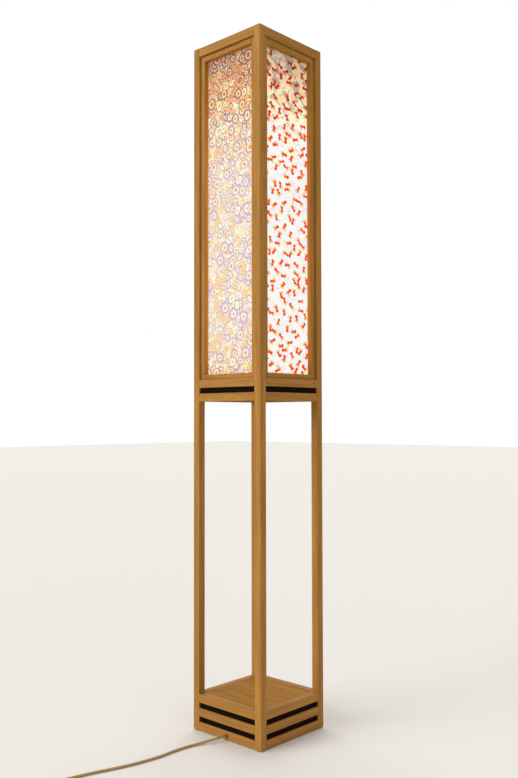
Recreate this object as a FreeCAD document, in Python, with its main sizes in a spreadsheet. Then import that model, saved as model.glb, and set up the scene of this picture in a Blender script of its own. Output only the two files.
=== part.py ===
import FreeCAD, Part
import math
import os
import Sketcher

from FreeCAD import Placement, Rotation, Vector

# Paper lantern floor lamp: four square posts that carry a slatted base, an open
# middle and a tall lantern of four papered panels. Millimetres, +Z up, the
# origin on the floor under the middle of the lamp, the front towards -Y.

DRIVING_SIZES = (
    ("lamp_width", 230),
    ("post_side", 20),
    ("post_length", 1714),
    ("pad_thick", 2),
    ("pad_radius", 9),
    ("arris", 0.8),
    ("rail_height", 20),
    ("slot_height", 14),
    ("band_rise", 815),
    ("top_rail_height", 22),
    ("spacer_setback", 4.5),
    ("tenon_length", 5.5),
    ("tenon_shoulder", 4),
    ("tenon_cheek", 6),
    ("joint_play", 0.1),
    ("board_thick", 9),
    ("board_play", 0.5),
    ("lead_notch_radius", 11),
    ("cleat_depth", 12),
    ("cleat_length", 150),
    ("cleat_screw_spacing", 100),
    ("screw_radius", 1.5),
    ("screw_length", 22),
    ("screw_head_radius", 3),
    ("screw_head_height", 1.6),
    ("screw_play", 0.05),
    ("panel_setback", 6),
    ("panel_side_play", 0.5),
    ("panel_top_gap", 1),
    ("panel_stock_width", 13),
    ("panel_tenon_length", 5),
    ("panel_tenon_shoulder", 3),
    ("panel_tenon_cheek", 4),
    ("tongue_height", 4),
    ("tongue_cheek", 5),
    ("tongue_shoulder", 10),
    ("paper_thick", 0.4),
    ("paper_margin", 4),
    ("stem_radius", 5),
    ("stem_bore_radius", 3.75),
    ("stem_play", 0.2),
    ("stem_tail", 3),
    ("nut_thick", 3.5),
    ("nut_radius", 8),
    ("holder_rise", 209),
    ("cap_neck_radius", 8),
    ("cap_neck_height", 9),
    ("cap_flare_height", 9),
    ("cap_skirt_height", 6),
    ("holder_radius", 18.5),
    ("holder_wall", 2.2),
    ("sleeve_height", 34),
    ("sleeve_floor", 4),
    ("socket_play", 0.3),
    ("bulb_base_radius", 13.2),
    ("bulb_base_height", 23),
    ("bulb_shoulder_height", 2),
    ("bulb_tip_radius", 4.5),
    ("bulb_tip_height", 3.5),
    ("bulb_neck_radius", 13),
    ("bulb_globe_radius", 30),
    ("bulb_globe_rise", 50),
    ("bulb_wall", 1),
    ("cord_diameter", 6),
    ("cord_hole_radius", 4),
    ("cord_hole_rise", 10),
    ("lead_end_depth", 6),
    ("lead_corner_gap", 0.3),
    ("lead_bend_radius", 22),
    ("lead_drop", 24),
    ("lead_turn_y", -45),
    ("clip_wall", 1.2),
    ("clip_height", 6),
    ("clip_foot", 3.2),
    ("clip_play", 0.1),
    ("grip_width", 30),
    ("grip_height", 12),
    ("grip_depth", 9),
    ("grip_screw_spacing", 20),
    ("switch_x", -8),
    ("switch_y", -592),
    ("switch_length", 68),
    ("switch_width", 36),
    ("switch_corner_round", 12),
    ("switch_height", 21),
    ("switch_crown", 3),
    ("switch_inlet_rise", 6.6),
    ("relief_length", 22),
    ("relief_big_radius", 5.6),
    ("relief_small_radius", 4),
    ("button_radius", 12),
    ("button_play", 0.3),
    ("button_depth", 9),
    ("button_rise", 5),
    ("button_travel", 3.5),
    ("button_edge_round", 1.5),
    ("coil_mid_radius", 35),
    ("coil_pitch", 7),
    ("coil_lift", 1.3),
    ("tail_length", 30),
    ("tie_width", 12),
    ("tie_thick", 1),
    ("tie_play", 0.3),
    ("plug_length", 36),
    ("plug_width", 33),
    ("plug_nose_width", 26),
    ("plug_thick", 14),
    ("plug_corner", 3),
    ("pin_radius", 2),
    ("pin_length", 19),
    ("pin_spacing", 18.6),
    ("pin_root", 8),
)

COIL_TURNS_PER_LAYER = 2.5
COIL_LAYERS = 2
ROUND_SIDES = 24
CORD_SIDES = 8
COIL_SIDES = 4
SCREW_SIDES = 6
PAD_SIDES = 12
NUT_SIDES = 6
BULB_STEPS = 8
CORNER_STEPS = 4
CROSSBAR_LEVELS = 3
TINY = 1e-6
VOLUME_TOLERANCE_SHARE = 0.02
SIDES = ("front", "right", "back", "left")
POSTS = ("front_left_post", "front_right_post", "back_right_post", "back_left_post")
CLIP_HEIGHT_SHARES = (0.06, 0.36, 0.66, 0.94)
BEND_RUN_SHARE = 0.45

# The cord from the hole in the front rail over the floor, as far as the switch.
CORD_ROUTE = (
    (0, -115, 12),
    (0, -133, 12),
    (-14, -158, 7.5),
    (-27, -185, 3.4),
    (-33, -212, 3.2),
    (-35, -250, 3.2),
    (-33, -286, 3.2),
    (-37, -328, 3.2),
    (-45, -372, 3.2),
    (-57, -414, 3.2),
    (-70, -452, 3.2),
    (-80, -492, 3.2),
    (-88, -526, 3.2),
    (-88, -554, 3.2),
    (-74, -579, 3.4),
    (-46, -592, 6.6),
)


HALF = "(Sizes.lamp_width / 2)"
INNER = "(Sizes.lamp_width - 2 * Sizes.post_side)"
INNER_HALF = f"({INNER} / 2)"
FRAME_TOP = "(Sizes.pad_thick + Sizes.post_length)"
RAIL_STEP = "(Sizes.rail_height + Sizes.slot_height)"
BASE_TOP = f"(Sizes.pad_thick + 2 * {RAIL_STEP} + Sizes.rail_height)"
BAND_FOOT = "(Sizes.pad_thick + Sizes.band_rise)"
BAND_TOP = f"({BAND_FOOT} + {RAIL_STEP} + Sizes.rail_height)"
TOP_RAIL_FOOT = f"({FRAME_TOP} - Sizes.top_rail_height)"
CLEAT_HEIGHT = "(Sizes.rail_height - Sizes.board_thick)"
PANEL_WIDTH = f"({INNER} - 2 * Sizes.panel_side_play)"
PANEL_HEIGHT = f"({TOP_RAIL_FOOT} - {BAND_TOP} - Sizes.panel_top_gap)"
PANEL_DEPTH = "(Sizes.post_side - Sizes.panel_setback)"
CORD_RADIUS = "(Sizes.cord_diameter / 2)"
CORD_EXIT_Z = "(Sizes.pad_thick + Sizes.cord_hole_rise)"
LEAD_CORNER = f"({INNER_HALF} - {CORD_RADIUS} - Sizes.lead_corner_gap)"
HOLDER_FOOT = f"({BAND_TOP} + Sizes.holder_rise)"
CAP_HEIGHT = "(Sizes.cap_neck_height + Sizes.cap_flare_height + Sizes.cap_skirt_height)"
SLEEVE_FOOT = f"({HOLDER_FOOT} + {CAP_HEIGHT})"
BULB_FOOT = f"({SLEEVE_FOOT} + Sizes.sleeve_floor + Sizes.socket_play)"
GLASS_FOOT = (
    f"({BULB_FOOT} + Sizes.bulb_tip_height + Sizes.bulb_base_height + Sizes.bulb_shoulder_height)"
)
SCREW_BITE = "(Sizes.screw_length - Sizes.cleat_depth)"
GRIP_BITE = "(Sizes.screw_length - Sizes.grip_depth)"
COIL_Z = f"({CORD_RADIUS} + Sizes.coil_lift)"
COIL_OUTER = f"(Sizes.coil_mid_radius + Sizes.coil_pitch * {COIL_TURNS_PER_LAYER} / 2)"


doc = FreeCAD.newDocument("FloorLamp")
sheet = doc.addObject("Spreadsheet::Sheet", "Sizes")
nodes = []


def fill_sheet():
    for row, (alias, value) in enumerate(DRIVING_SIZES, start=1):
        sheet.set(f"A{row}", alias)
        sheet.set(f"B{row}", str(value))
        sheet.setAlias(f"B{row}", alias)
    doc.recompute()


def value(expression):
    """The number that an expression in the sheet's aliases stands for."""
    found = sheet.evalExpression(str(expression))
    return float(getattr(found, "Value", found))


def bind(thing, **properties):
    for name, expression in properties.items():
        thing.setExpression(name, expression)
    return thing


def place(thing, x="0", y="0", z="0", quarter=0, turn=None):
    """Puts a piece drawn for the front side at the side that quarter turns about Z lead to."""
    around = (
        (f"({x})", f"({y})"),
        (f"-({y})", f"({x})"),
        (f"-({x})", f"-({y})"),
        (f"({y})", f"-({x})"),
    )[quarter % 4]
    rotation = Rotation(Vector(0, 0, 1), 90 * quarter)
    if turn is not None:
        rotation = rotation.multiply(turn)
    thing.Placement = Placement(Vector(0, 0, 0), rotation)
    thing.setExpression(".Placement.Base.x", around[0])
    thing.setExpression(".Placement.Base.y", around[1])
    thing.setExpression(".Placement.Base.z", f"({z})")
    return thing


def keep(thing, label):
    """Names a finished sub-part and lists it for export."""
    thing.Label = label
    nodes.append(thing)
    return thing


def sketch_on(body, name, plane, offset=None):
    sketch = body.newObject("Sketcher::SketchObject", name)
    base_plane = next(f for f in body.Origin.OriginFeatures if f.Role == plane)
    sketch.AttachmentSupport = [(base_plane, "")]
    sketch.MapMode = "FlatFace"
    if offset is not None:
        sketch.setExpression(".AttachmentOffset.Base.z", offset)
    return sketch


def dimension(sketch, kind, name, parts, expression):
    number = sketch.addConstraint(Sketcher.Constraint(kind, *parts, value(expression)))
    sketch.renameConstraint(number, name)
    sketch.setExpression(f"Constraints.{name}", expression)


def fix_point(sketch, name, geometry, point, across, up):
    """Holds a point at two expressions, on the axis where one of them is 0."""
    if across == "0":
        sketch.addConstraint(Sketcher.Constraint("PointOnObject", geometry, point, -2))
    else:
        dimension(sketch, "DistanceX", f"{name}_across", (-1, 1, geometry, point), across)
    if up == "0":
        sketch.addConstraint(Sketcher.Constraint("PointOnObject", geometry, point, -1))
    else:
        dimension(sketch, "DistanceY", f"{name}_up", (-1, 1, geometry, point), up)


def outline(sketch, name, points):
    """A closed run of lines through points that are pairs of expressions."""
    spots = [Vector(value(a), value(b), 0) for a, b in points]
    first = sketch.GeometryCount
    count = len(points)
    for i in range(count):
        sketch.addGeometry(Part.LineSegment(spots[i], spots[(i + 1) % count]), False)
    for i in range(count):
        sketch.addConstraint(
            Sketcher.Constraint("Coincident", first + i, 2, first + (i + 1) % count, 1)
        )
    for i, (across, up) in enumerate(points):
        fix_point(sketch, f"{name}_{i}", first + i, 1, across, up)


def rectangle(sketch, name, left, low, wide, high):
    right = f"({left}) + ({wide})"
    top = f"({low}) + ({high})"
    outline(sketch, name, ((left, low), (right, low), (right, top), (left, top)))


def circle(sketch, name, across, up, radius):
    spot = Vector(value(across), value(up), 0)
    number = sketch.addGeometry(Part.Circle(spot, Vector(0, 0, 1), value(radius)), False)
    dimension(sketch, "Radius", f"{name}_radius", (number,), radius)
    fix_point(sketch, name, number, 3, across, up)


def pad(body, name, sketch, length):
    feature = body.newObject("PartDesign::Pad", name)
    feature.Profile = sketch
    return bind(feature, Length=length)


def pocket(body, name, sketch, depth, reverse=False):
    """Cuts the sketch into the body, and stops the build if nothing was cut."""
    doc.recompute()
    before = body.Shape.Volume
    feature = body.newObject("PartDesign::Pocket", name)
    feature.Profile = sketch
    feature.Reversed = reverse
    bind(feature, Length=depth)
    doc.recompute()
    if not body.Shape.Volume < before:
        raise RuntimeError(f"{body.Label}: {name} cuts nothing")
    return feature


def edges_along(shape, direction, length):
    """The names of the edges that run the whole length in a direction."""
    found = []
    for number, edge in enumerate(shape.Edges, start=1):
        run = edge.Vertexes[-1].Point - edge.Vertexes[0].Point
        if abs(abs(run.dot(direction)) - length) < TINY and abs(run.Length - length) < TINY:
            found.append(f"Edge{number}")
    return found


def break_arrises(body, feature, direction, length):
    """Small bevels along the four long edges of a planed stick."""
    doc.recompute()
    chamfer = body.newObject("PartDesign::Chamfer", "Arrises")
    chamfer.Base = (feature, edges_along(feature.Shape, direction, value(length)))
    return bind(chamfer, Size="Sizes.arris")


def post(label, quarter):
    """A square post with a mortise for each rail in its two inner faces."""
    body = doc.addObject("PartDesign::Body", label)
    section = sketch_on(body, "Section", "XY_Plane")
    rectangle(section, "square", "0", "0", "Sizes.post_side", "Sizes.post_side")
    stick = pad(body, "Stick", section, "Sizes.post_length")
    break_arrises(body, stick, Vector(0, 0, 1), "Sizes.post_length")
    feet = [f"{i} * {RAIL_STEP}" for i in range(CROSSBAR_LEVELS)]
    feet += ["Sizes.band_rise", f"Sizes.band_rise + {RAIL_STEP}"]
    heights = ["Sizes.rail_height"] * len(feet)
    feet.append("Sizes.post_length - Sizes.top_rail_height")
    heights.append("Sizes.top_rail_height")
    thick = "Sizes.post_side - 2 * Sizes.tenon_cheek + 2 * Sizes.joint_play"
    depth = "Sizes.tenon_length + Sizes.joint_play"
    left = "Sizes.tenon_cheek - Sizes.joint_play"
    for name, plane, offset, reverse in (
        ("RightMortises", "YZ_Plane", "Sizes.post_side", False),
        ("RearMortises", "XZ_Plane", "-Sizes.post_side", True),
    ):
        sketch = sketch_on(body, name + "Sketch", plane, offset)
        for i, (foot, high) in enumerate(zip(feet, heights)):
            low = f"({foot}) + Sizes.tenon_shoulder - Sizes.joint_play"
            tall = f"({high}) - 2 * Sizes.tenon_shoulder + 2 * Sizes.joint_play"
            rectangle(sketch, f"m{i}", left, low, thick, tall)
        pocket(body, name, sketch, depth, reverse)
    place(body, f"-{HALF}", f"-{HALF}", "Sizes.pad_thick", quarter)
    return keep(body, label)


def rail(label, quarter, foot, high="Sizes.rail_height", drill=(), pilots=None):
    """A rail from post to post with a stub tenon at each end, and any holes it has."""
    body = doc.addObject("PartDesign::Body", label)
    section = sketch_on(body, "Section", "YZ_Plane")
    rectangle(section, "bar", "0", "0", "Sizes.post_side", high)
    stick = pad(body, "Stick", section, INNER)
    break_arrises(body, stick, Vector(1, 0, 0), INNER)
    tongue = sketch_on(body, "Tongue", "YZ_Plane", "-Sizes.tenon_length")
    thick = "Sizes.post_side - 2 * Sizes.tenon_cheek"
    tall = f"({high}) - 2 * Sizes.tenon_shoulder"
    rectangle(tongue, "tenon", "Sizes.tenon_cheek", "Sizes.tenon_shoulder", thick, tall)
    pad(body, "Tenons", tongue, f"{INNER} + 2 * Sizes.tenon_length")
    for drilling in drill:
        drilling(body, high)
    place(body, f"-{INNER_HALF}", f"-{HALF}", foot, quarter)
    if pilots is None:
        return keep(body, label)
    body.Label = label + "_stick"
    spacing, up, bite = pilots
    holes = screw_pair(f"Pilot{label}", spacing, up, bite, quarter, "Sizes.screw_play")
    return keep(cut("Drilled" + label, body, fused("Pilots" + label, *holes)), label)


def cord_hole(body, high):
    """The round hole through the rail that the cord leaves by."""
    sketch = sketch_on(body, "CordHoleSketch", "XZ_Plane", "-Sizes.post_side")
    circle(sketch, "hole", INNER_HALF, "Sizes.cord_hole_rise", "Sizes.cord_hole_radius")
    pocket(body, "CordHole", sketch, "Sizes.post_side", True)


def panel_groove(body, offset, reverse):
    """The groove in a rail that a panel's tongue stands in."""
    sketch = sketch_on(body, "GrooveSketch", "XY_Plane", offset)
    inset = "Sizes.panel_side_play + Sizes.panel_stock_width"
    end = f"{inset} + Sizes.tongue_shoulder - Sizes.joint_play"
    across = "Sizes.panel_setback + Sizes.tongue_cheek - Sizes.joint_play"
    thick = f"{PANEL_DEPTH} - 2 * Sizes.tongue_cheek + 2 * Sizes.joint_play"
    rectangle(sketch, "groove", end, across, f"{INNER} - 2 * ({end})", thick)
    pocket(body, "Groove", sketch, "Sizes.tongue_height + Sizes.joint_play", reverse)


def groove_above(body, high):
    panel_groove(body, high, False)


def groove_below(body, high):
    panel_groove(body, None, True)


def frame_rails():
    for quarter, side in enumerate(SIDES):
        bottom_extras = {}
        if side == "front":
            grip_pilots = ("Sizes.grip_screw_spacing", CORD_EXIT_Z, GRIP_BITE)
            bottom_extras = {"drill": (cord_hole,), "pilots": grip_pilots}
        rail(f"{side}_base_bottom_rail", quarter, "Sizes.pad_thick", **bottom_extras)
        rail(f"{side}_base_middle_rail", quarter, f"Sizes.pad_thick + {RAIL_STEP}")
        rail(
            f"{side}_base_top_rail",
            quarter,
            f"{BASE_TOP} - Sizes.rail_height",
            pilots=cleat_pilots(BASE_TOP),
        )
        rail(f"{side}_band_lower_rail", quarter, BAND_FOOT)
        rail(
            f"{side}_band_upper_rail",
            quarter,
            f"{BAND_TOP} - Sizes.rail_height",
            drill=(groove_above,),
            pilots=cleat_pilots(BAND_TOP),
        )
        rail(
            f"{side}_top_rail",
            quarter,
            TOP_RAIL_FOOT,
            "Sizes.top_rail_height",
            drill=(groove_below,),
        )


def cleat_pilots(top):
    """Where the screws of a cleat under a board with its top at top go into the rail."""
    up = f"{top} - Sizes.rail_height + {CLEAT_HEIGHT} / 2"
    return "Sizes.cleat_screw_spacing", up, SCREW_BITE


def box(name, long, wide, high):
    return bind(doc.addObject("Part::Box", name), Length=long, Width=wide, Height=high)


def prism(name, radius, high, sides=ROUND_SIDES):
    made = doc.addObject("Part::Prism", name)
    made.Polygon = sides
    return bind(made, Circumradius=radius, Height=high)


def lathed(points):
    """A solid turned about Z in flats, from a closed outline of radius and height pairs."""
    rings = []
    for radius, height in points:
        ring = []
        for i in range(ROUND_SIDES):
            angle = 2 * math.pi * i / ROUND_SIDES
            ring.append(Vector(radius * math.cos(angle), radius * math.sin(angle), height))
        rings.append(ring)
    faces = []
    for low, high in zip(rings, rings[1:] + rings[:1]):
        for i in range(ROUND_SIDES):
            j = (i + 1) % ROUND_SIDES
            corners = []
            for corner in (low[i], low[j], high[j], high[i]):
                if all((corner - known).Length > TINY for known in corners):
                    corners.append(corner)
            if len(corners) > 2:
                faces.append(Part.Face(Part.makePolygon(corners + corners[:1])))
    solid = Part.Solid(Part.Shell(faces))
    if solid.Volume < 0:
        solid.reverse()
    return solid


def turned(name, points):
    """A document object with a lathed solid, from pairs of expressions."""
    made = doc.addObject("Part::Feature", name)
    made.Shape = lathed([(value(radius), value(height)) for radius, height in points])
    return made


def tapered(name, low_radius, high_radius, high):
    return turned(name, (("0", "0"), (low_radius, "0"), (high_radius, high), ("0", high)))


def fused(name, *pieces):
    made = doc.addObject("Part::MultiFuse", name)
    made.Shapes = list(pieces)
    return made


def cut(name, base, tool):
    made = doc.addObject("Part::Cut", name)
    made.Base = base
    made.Tool = tool
    return made


def group(name, pieces):
    made = doc.addObject("Part::Compound", name)
    made.Links = list(pieces)
    return made


def spacers():
    """The dark strips that close the slots, set back behind the rails' faces."""
    levels = ["Sizes.pad_thick + Sizes.rail_height"]
    levels.append(f"Sizes.pad_thick + {RAIL_STEP} + Sizes.rail_height")
    levels.append(f"{BAND_FOOT} + Sizes.rail_height")
    strips = []
    for level, foot in enumerate(levels):
        for quarter in range(4):
            name = f"Spacer{level}{quarter}"
            strip = box(name, INNER, "Sizes.post_side - Sizes.spacer_setback", "Sizes.slot_height")
            place(strip, f"-{INNER_HALF}", f"-{HALF} + Sizes.spacer_setback", foot, quarter)
            strips.append(strip)
    return keep(group("Spacers", strips), "dark_spacer_strips")


def board(name, top):
    side = f"{INNER} - 2 * Sizes.board_play"
    made = box(name, side, side, "Sizes.board_thick")
    corner = f"-{INNER_HALF} + Sizes.board_play"
    return place(made, corner, corner, f"{top} - Sizes.board_thick")


def boards():
    """The board over the base, notched for the lead, and the lantern's floor."""
    notch = prism("LeadNotch", "Sizes.lead_notch_radius", "Sizes.rail_height")
    place(notch, f"-{INNER_HALF}", f"{INNER_HALF}", f"{BASE_TOP} - Sizes.rail_height / 2")
    keep(cut("BaseBoard", board("BaseBoardBlank", BASE_TOP), notch), "base_board")
    hole = prism("StemHole", "Sizes.stem_radius + Sizes.stem_play", "Sizes.rail_height")
    place(hole, z=f"{BAND_TOP} - Sizes.rail_height / 2")
    keep(cut("LanternFloor", board("LanternFloorBlank", BAND_TOP), hole), "lantern_floor")


REARWARD = Rotation(Vector(1, 0, 0), -90)


def screw(name, play):
    """A screw along Z with its point at 0, or with play the hole that clears its shank."""
    if play is not None:
        deep = "Sizes.screw_length + Sizes.joint_play"
        return prism(name, f"Sizes.screw_radius + {play}", deep, SCREW_SIDES)
    shank = prism(name + "Shank", "Sizes.screw_radius", "Sizes.screw_length", SCREW_SIDES)
    head_height = "Sizes.screw_head_height"
    head = prism(name + "Head", "Sizes.screw_head_radius", head_height, SCREW_SIDES)
    return fused(name, shank, place(head, z="Sizes.screw_length"))


def screw_pair(name, spacing, up, bite, quarter=0, play=None):
    """Two screws side by side that go through a block on a rail's inner face and bite into
    the rail, or the holes that clear them."""
    pair = []
    inward = f"-{INNER_HALF} - {bite}"
    if play is not None:
        inward += " - Sizes.joint_play"
    for i, sign in enumerate(("-", "")):
        one = screw(f"{name}{i}", play)
        place(one, f"{sign}{spacing} / 2", inward, up, quarter, REARWARD)
        pair.append(one)
    return pair


def cleat(name, quarter, top):
    """A bar screwed to the rail's inner face; the board rests on it."""
    blank = box(name + "Blank", "Sizes.cleat_length", "Sizes.cleat_depth", CLEAT_HEIGHT)
    place(blank, "-Sizes.cleat_length / 2", f"-{INNER_HALF}", f"{top} - Sizes.rail_height", quarter)
    holes = screw_pair(name + "Hole", *cleat_pilots(top), quarter, "Sizes.screw_play")
    return cut(name, blank, fused(name + "Holes", *holes))


def cleats_and_screws():
    screws = screw_pair("GripScrew", "Sizes.grip_screw_spacing", CORD_EXIT_Z, GRIP_BITE)
    levels = (
        ("BaseCleat", BASE_TOP, "base_board_cleats"),
        ("FloorCleat", BAND_TOP, "lantern_floor_cleats"),
    )
    for name, top, label in levels:
        keep(group(name + "s", [cleat(f"{name}{q}", q, top) for q in range(4)]), label)
        for quarter in range(4):
            screws += screw_pair(f"{name}Screw{quarter}", *cleat_pilots(top), quarter)
    return keep(group("Screws", screws), "wood_screws")


def panel_stile(label, mirrored):
    """A stile of a lantern panel, with a mortise near each end in its inner edge."""
    body = doc.addObject("PartDesign::Body", label)
    section = sketch_on(body, "Section", "XY_Plane")
    rectangle(section, "bar", "0", "0", "Sizes.panel_stock_width", PANEL_DEPTH)
    stick = pad(body, "Stick", section, PANEL_HEIGHT)
    break_arrises(body, stick, Vector(0, 0, 1), PANEL_HEIGHT)
    offset = None if mirrored else "Sizes.panel_stock_width"
    sketch = sketch_on(body, "MortiseSketch", "YZ_Plane", offset)
    left = "Sizes.panel_tenon_cheek - Sizes.joint_play"
    thick = f"{PANEL_DEPTH} - 2 * Sizes.panel_tenon_cheek + 2 * Sizes.joint_play"
    tall = "Sizes.panel_stock_width - 2 * Sizes.panel_tenon_shoulder + 2 * Sizes.joint_play"
    low = "Sizes.panel_tenon_shoulder - Sizes.joint_play"
    for i, foot in enumerate(("0", f"{PANEL_HEIGHT} - Sizes.panel_stock_width")):
        rectangle(sketch, f"m{i}", left, f"{foot} + {low}", thick, tall)
    pocket(body, "Mortises", sketch, "Sizes.panel_tenon_length + Sizes.joint_play", mirrored)
    across = f"{PANEL_WIDTH} / 2 - Sizes.panel_stock_width" if mirrored else f"-{PANEL_WIDTH} / 2"
    return place(body, across, f"-{HALF} + Sizes.panel_setback", BAND_TOP)


def panel_rail(label, top):
    """A rail of a lantern panel, with its tenons, and a tongue that stands in the lamp's rail."""
    body = doc.addObject("PartDesign::Body", label)
    long = f"({PANEL_WIDTH} - 2 * Sizes.panel_stock_width)"
    section = sketch_on(body, "Section", "YZ_Plane")
    rectangle(section, "bar", "0", "0", PANEL_DEPTH, "Sizes.panel_stock_width")
    stick = pad(body, "Stick", section, long)
    break_arrises(body, stick, Vector(1, 0, 0), long)
    tenon = sketch_on(body, "TenonSketch", "YZ_Plane", "-Sizes.panel_tenon_length")
    thick = f"{PANEL_DEPTH} - 2 * Sizes.panel_tenon_cheek"
    tall = "Sizes.panel_stock_width - 2 * Sizes.panel_tenon_shoulder"
    rectangle(tenon, "tenon", "Sizes.panel_tenon_cheek", "Sizes.panel_tenon_shoulder", thick, tall)
    pad(body, "Tenons", tenon, f"{long} + 2 * Sizes.panel_tenon_length")
    tongue = sketch_on(body, "TongueSketch", "XY_Plane", None if top else "-Sizes.tongue_height")
    shoulder = "Sizes.tongue_shoulder"
    narrow = f"{PANEL_DEPTH} - 2 * Sizes.tongue_cheek"
    rectangle(tongue, "tongue", shoulder, "Sizes.tongue_cheek", f"{long} - 2 * {shoulder}", narrow)
    pad(body, "Tongue", tongue, "Sizes.panel_stock_width + Sizes.tongue_height")
    foot = f"{BAND_TOP} + {PANEL_HEIGHT} - Sizes.panel_stock_width" if top else BAND_TOP
    return place(body, f"-{long} / 2", f"-{HALF} + Sizes.panel_setback", foot)


def panels():
    """Four lantern panels: a tenoned frame each, and the paper on its back."""
    frame = [
        panel_stile("panel_left_stile", False),
        panel_stile("panel_right_stile", True),
        panel_rail("panel_bottom_rail", False),
        panel_rail("panel_top_rail", True),
    ]
    wide = f"({PANEL_WIDTH} - 2 * Sizes.paper_margin)"
    tall = f"({PANEL_HEIGHT} - 2 * Sizes.paper_margin)"
    for quarter, side in enumerate(SIDES):
        keep(place(group(f"Panel{quarter}", frame), quarter=quarter), f"{side}_panel_frame")
        sheet_of_paper = box(f"Paper{quarter}", wide, "Sizes.paper_thick", tall)
        foot = f"{BAND_TOP} + Sizes.paper_margin"
        place(sheet_of_paper, f"-{wide} / 2", f"-{INNER_HALF}", foot, quarter)
        keep(sheet_of_paper, f"{side}_lantern_paper")


def felt_pads():
    pads = []
    for quarter in range(4):
        pad_disc = prism(f"Pad{quarter}", "Sizes.pad_radius", "Sizes.pad_thick", PAD_SIDES)
        middle = f"-{HALF} + Sizes.post_side / 2"
        pads.append(place(pad_disc, middle, middle, quarter=quarter))
    return keep(group("Pads", pads), "felt_pads")


def stem_and_nuts():
    """The threaded tube that stands in the lantern's floor and carries the lamp holder."""
    foot = f"({BAND_TOP} - Sizes.board_thick - Sizes.nut_thick - Sizes.stem_tail)"
    high = f"({HOLDER_FOOT} + Sizes.cap_neck_height - {foot})"
    outside = place(prism("StemOutside", "Sizes.stem_radius", high), z=foot)
    bore = place(prism("StemBore", "Sizes.stem_bore_radius", high), z=foot)
    keep(cut("Stem", outside, bore), "lamp_stem")
    nuts = []
    for i, low in enumerate((f"{BAND_TOP} - Sizes.board_thick - Sizes.nut_thick", BAND_TOP)):
        blank = prism(f"NutBlank{i}", "Sizes.nut_radius", "Sizes.nut_thick", NUT_SIDES)
        place(blank, z=low)
        hole = prism(f"NutHole{i}", "Sizes.stem_radius + Sizes.screw_play", "Sizes.nut_thick")
        nuts.append(cut(f"Nut{i}", blank, place(hole, z=low)))
    keep(group("Nuts", nuts), "stem_nuts")


def lamp_holder():
    """The holder's flared cap, screwed on the stem, and its sleeve with the screw socket."""
    inside = "Sizes.holder_radius - Sizes.holder_wall"
    neck_inside = "Sizes.stem_radius + Sizes.screw_play"
    flare_top = "Sizes.cap_neck_height + Sizes.cap_flare_height"
    cap = turned(
        "HolderCap",
        (
            (neck_inside, "0"),
            ("Sizes.cap_neck_radius", "0"),
            ("Sizes.cap_neck_radius", "Sizes.cap_neck_height"),
            ("Sizes.holder_radius", flare_top),
            ("Sizes.holder_radius", CAP_HEIGHT),
            (inside, CAP_HEIGHT),
            (neck_inside, "Sizes.cap_neck_height + Sizes.holder_wall"),
        ),
    )
    keep(place(cap, z=HOLDER_FOOT), "holder_cap")
    socket = "Sizes.bulb_base_radius + Sizes.socket_play"
    sleeve = turned(
        "HolderSleeve",
        (
            ("0", "0"),
            ("Sizes.holder_radius", "0"),
            ("Sizes.holder_radius", "Sizes.sleeve_height - Sizes.holder_wall"),
            ("Sizes.holder_radius - Sizes.holder_wall", "Sizes.sleeve_height"),
            (socket, "Sizes.sleeve_height"),
            (socket, "Sizes.sleeve_floor"),
            ("0", "Sizes.sleeve_floor"),
        ),
    )
    keep(place(sleeve, z=SLEEVE_FOOT), "holder_sleeve")


def bulb():
    """The bulb's screw base, and its opal glass: a globe drawn in by a cone to the neck."""
    base_top = "Sizes.bulb_tip_height + Sizes.bulb_base_height"
    base = turned(
        "BulbBase",
        (
            ("0", "0"),
            ("Sizes.bulb_tip_radius", "0"),
            ("Sizes.bulb_base_radius", "Sizes.bulb_tip_height"),
            ("Sizes.bulb_base_radius", base_top),
            ("Sizes.bulb_neck_radius - Sizes.bulb_wall", f"{base_top} + Sizes.bulb_shoulder_height"),
            ("0", f"{base_top} + Sizes.bulb_shoulder_height"),
        ),
    )
    keep(place(base, z=BULB_FOOT), "bulb_base")
    rise = value("Sizes.bulb_globe_rise")
    globe = value("Sizes.bulb_globe_radius")
    neck = value("Sizes.bulb_neck_radius")
    wall = value("Sizes.bulb_wall")
    lean = math.atan2(neck, rise) - math.asin(globe / math.hypot(neck, rise))
    angles = [lean + i * (math.pi / 2 - lean) / BULB_STEPS for i in range(BULB_STEPS + 1)]

    def half_section(radius, neck_radius):
        """Radius and height pairs from the neck up to the crown."""
        points = [(neck_radius, 0)]
        points += [(radius * math.cos(a), rise + radius * math.sin(a)) for a in angles[:-1]]
        points.append((0, rise + radius))
        return points

    outside = half_section(globe, neck)
    inside = half_section(globe - wall, neck - wall)
    glass = doc.addObject("Part::Feature", "BulbGlass")
    glass.Shape = lathed(outside + inside[::-1])
    keep(place(glass, z=GLASS_FOOT), "bulb_glass")


def rounded_path(points, largest=None):
    """Straight runs through the points, joined by tangent arcs, as one wire."""
    spots = [Vector(*p) for p in points]
    edges = []
    radii = []
    start = spots[0]
    for before, corner, after in zip(spots, spots[1:], spots[2:]):
        back = (before - corner).normalize()
        onward = (after - corner).normalize()
        half_turn = (math.pi - back.getAngle(onward)) / 2
        shorter = min((corner - before).Length, (after - corner).Length)
        radius = BEND_RUN_SHARE * shorter / math.tan(half_turn)
        if largest is not None:
            radius = min(radius, largest)
        reach = radius * math.tan(half_turn)
        enter = corner + back * reach
        leave = corner + onward * reach
        inward = (back + onward).normalize()
        middle = corner + inward * (radius / math.cos(half_turn) - radius)
        edges.append(Part.LineSegment(start, enter).toShape())
        edges.append(Part.Arc(enter, middle, leave).toShape())
        radii.append(radius)
        start = leave
    edges.append(Part.LineSegment(start, spots[-1]).toShape())
    return Part.Wire(edges), radii


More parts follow.
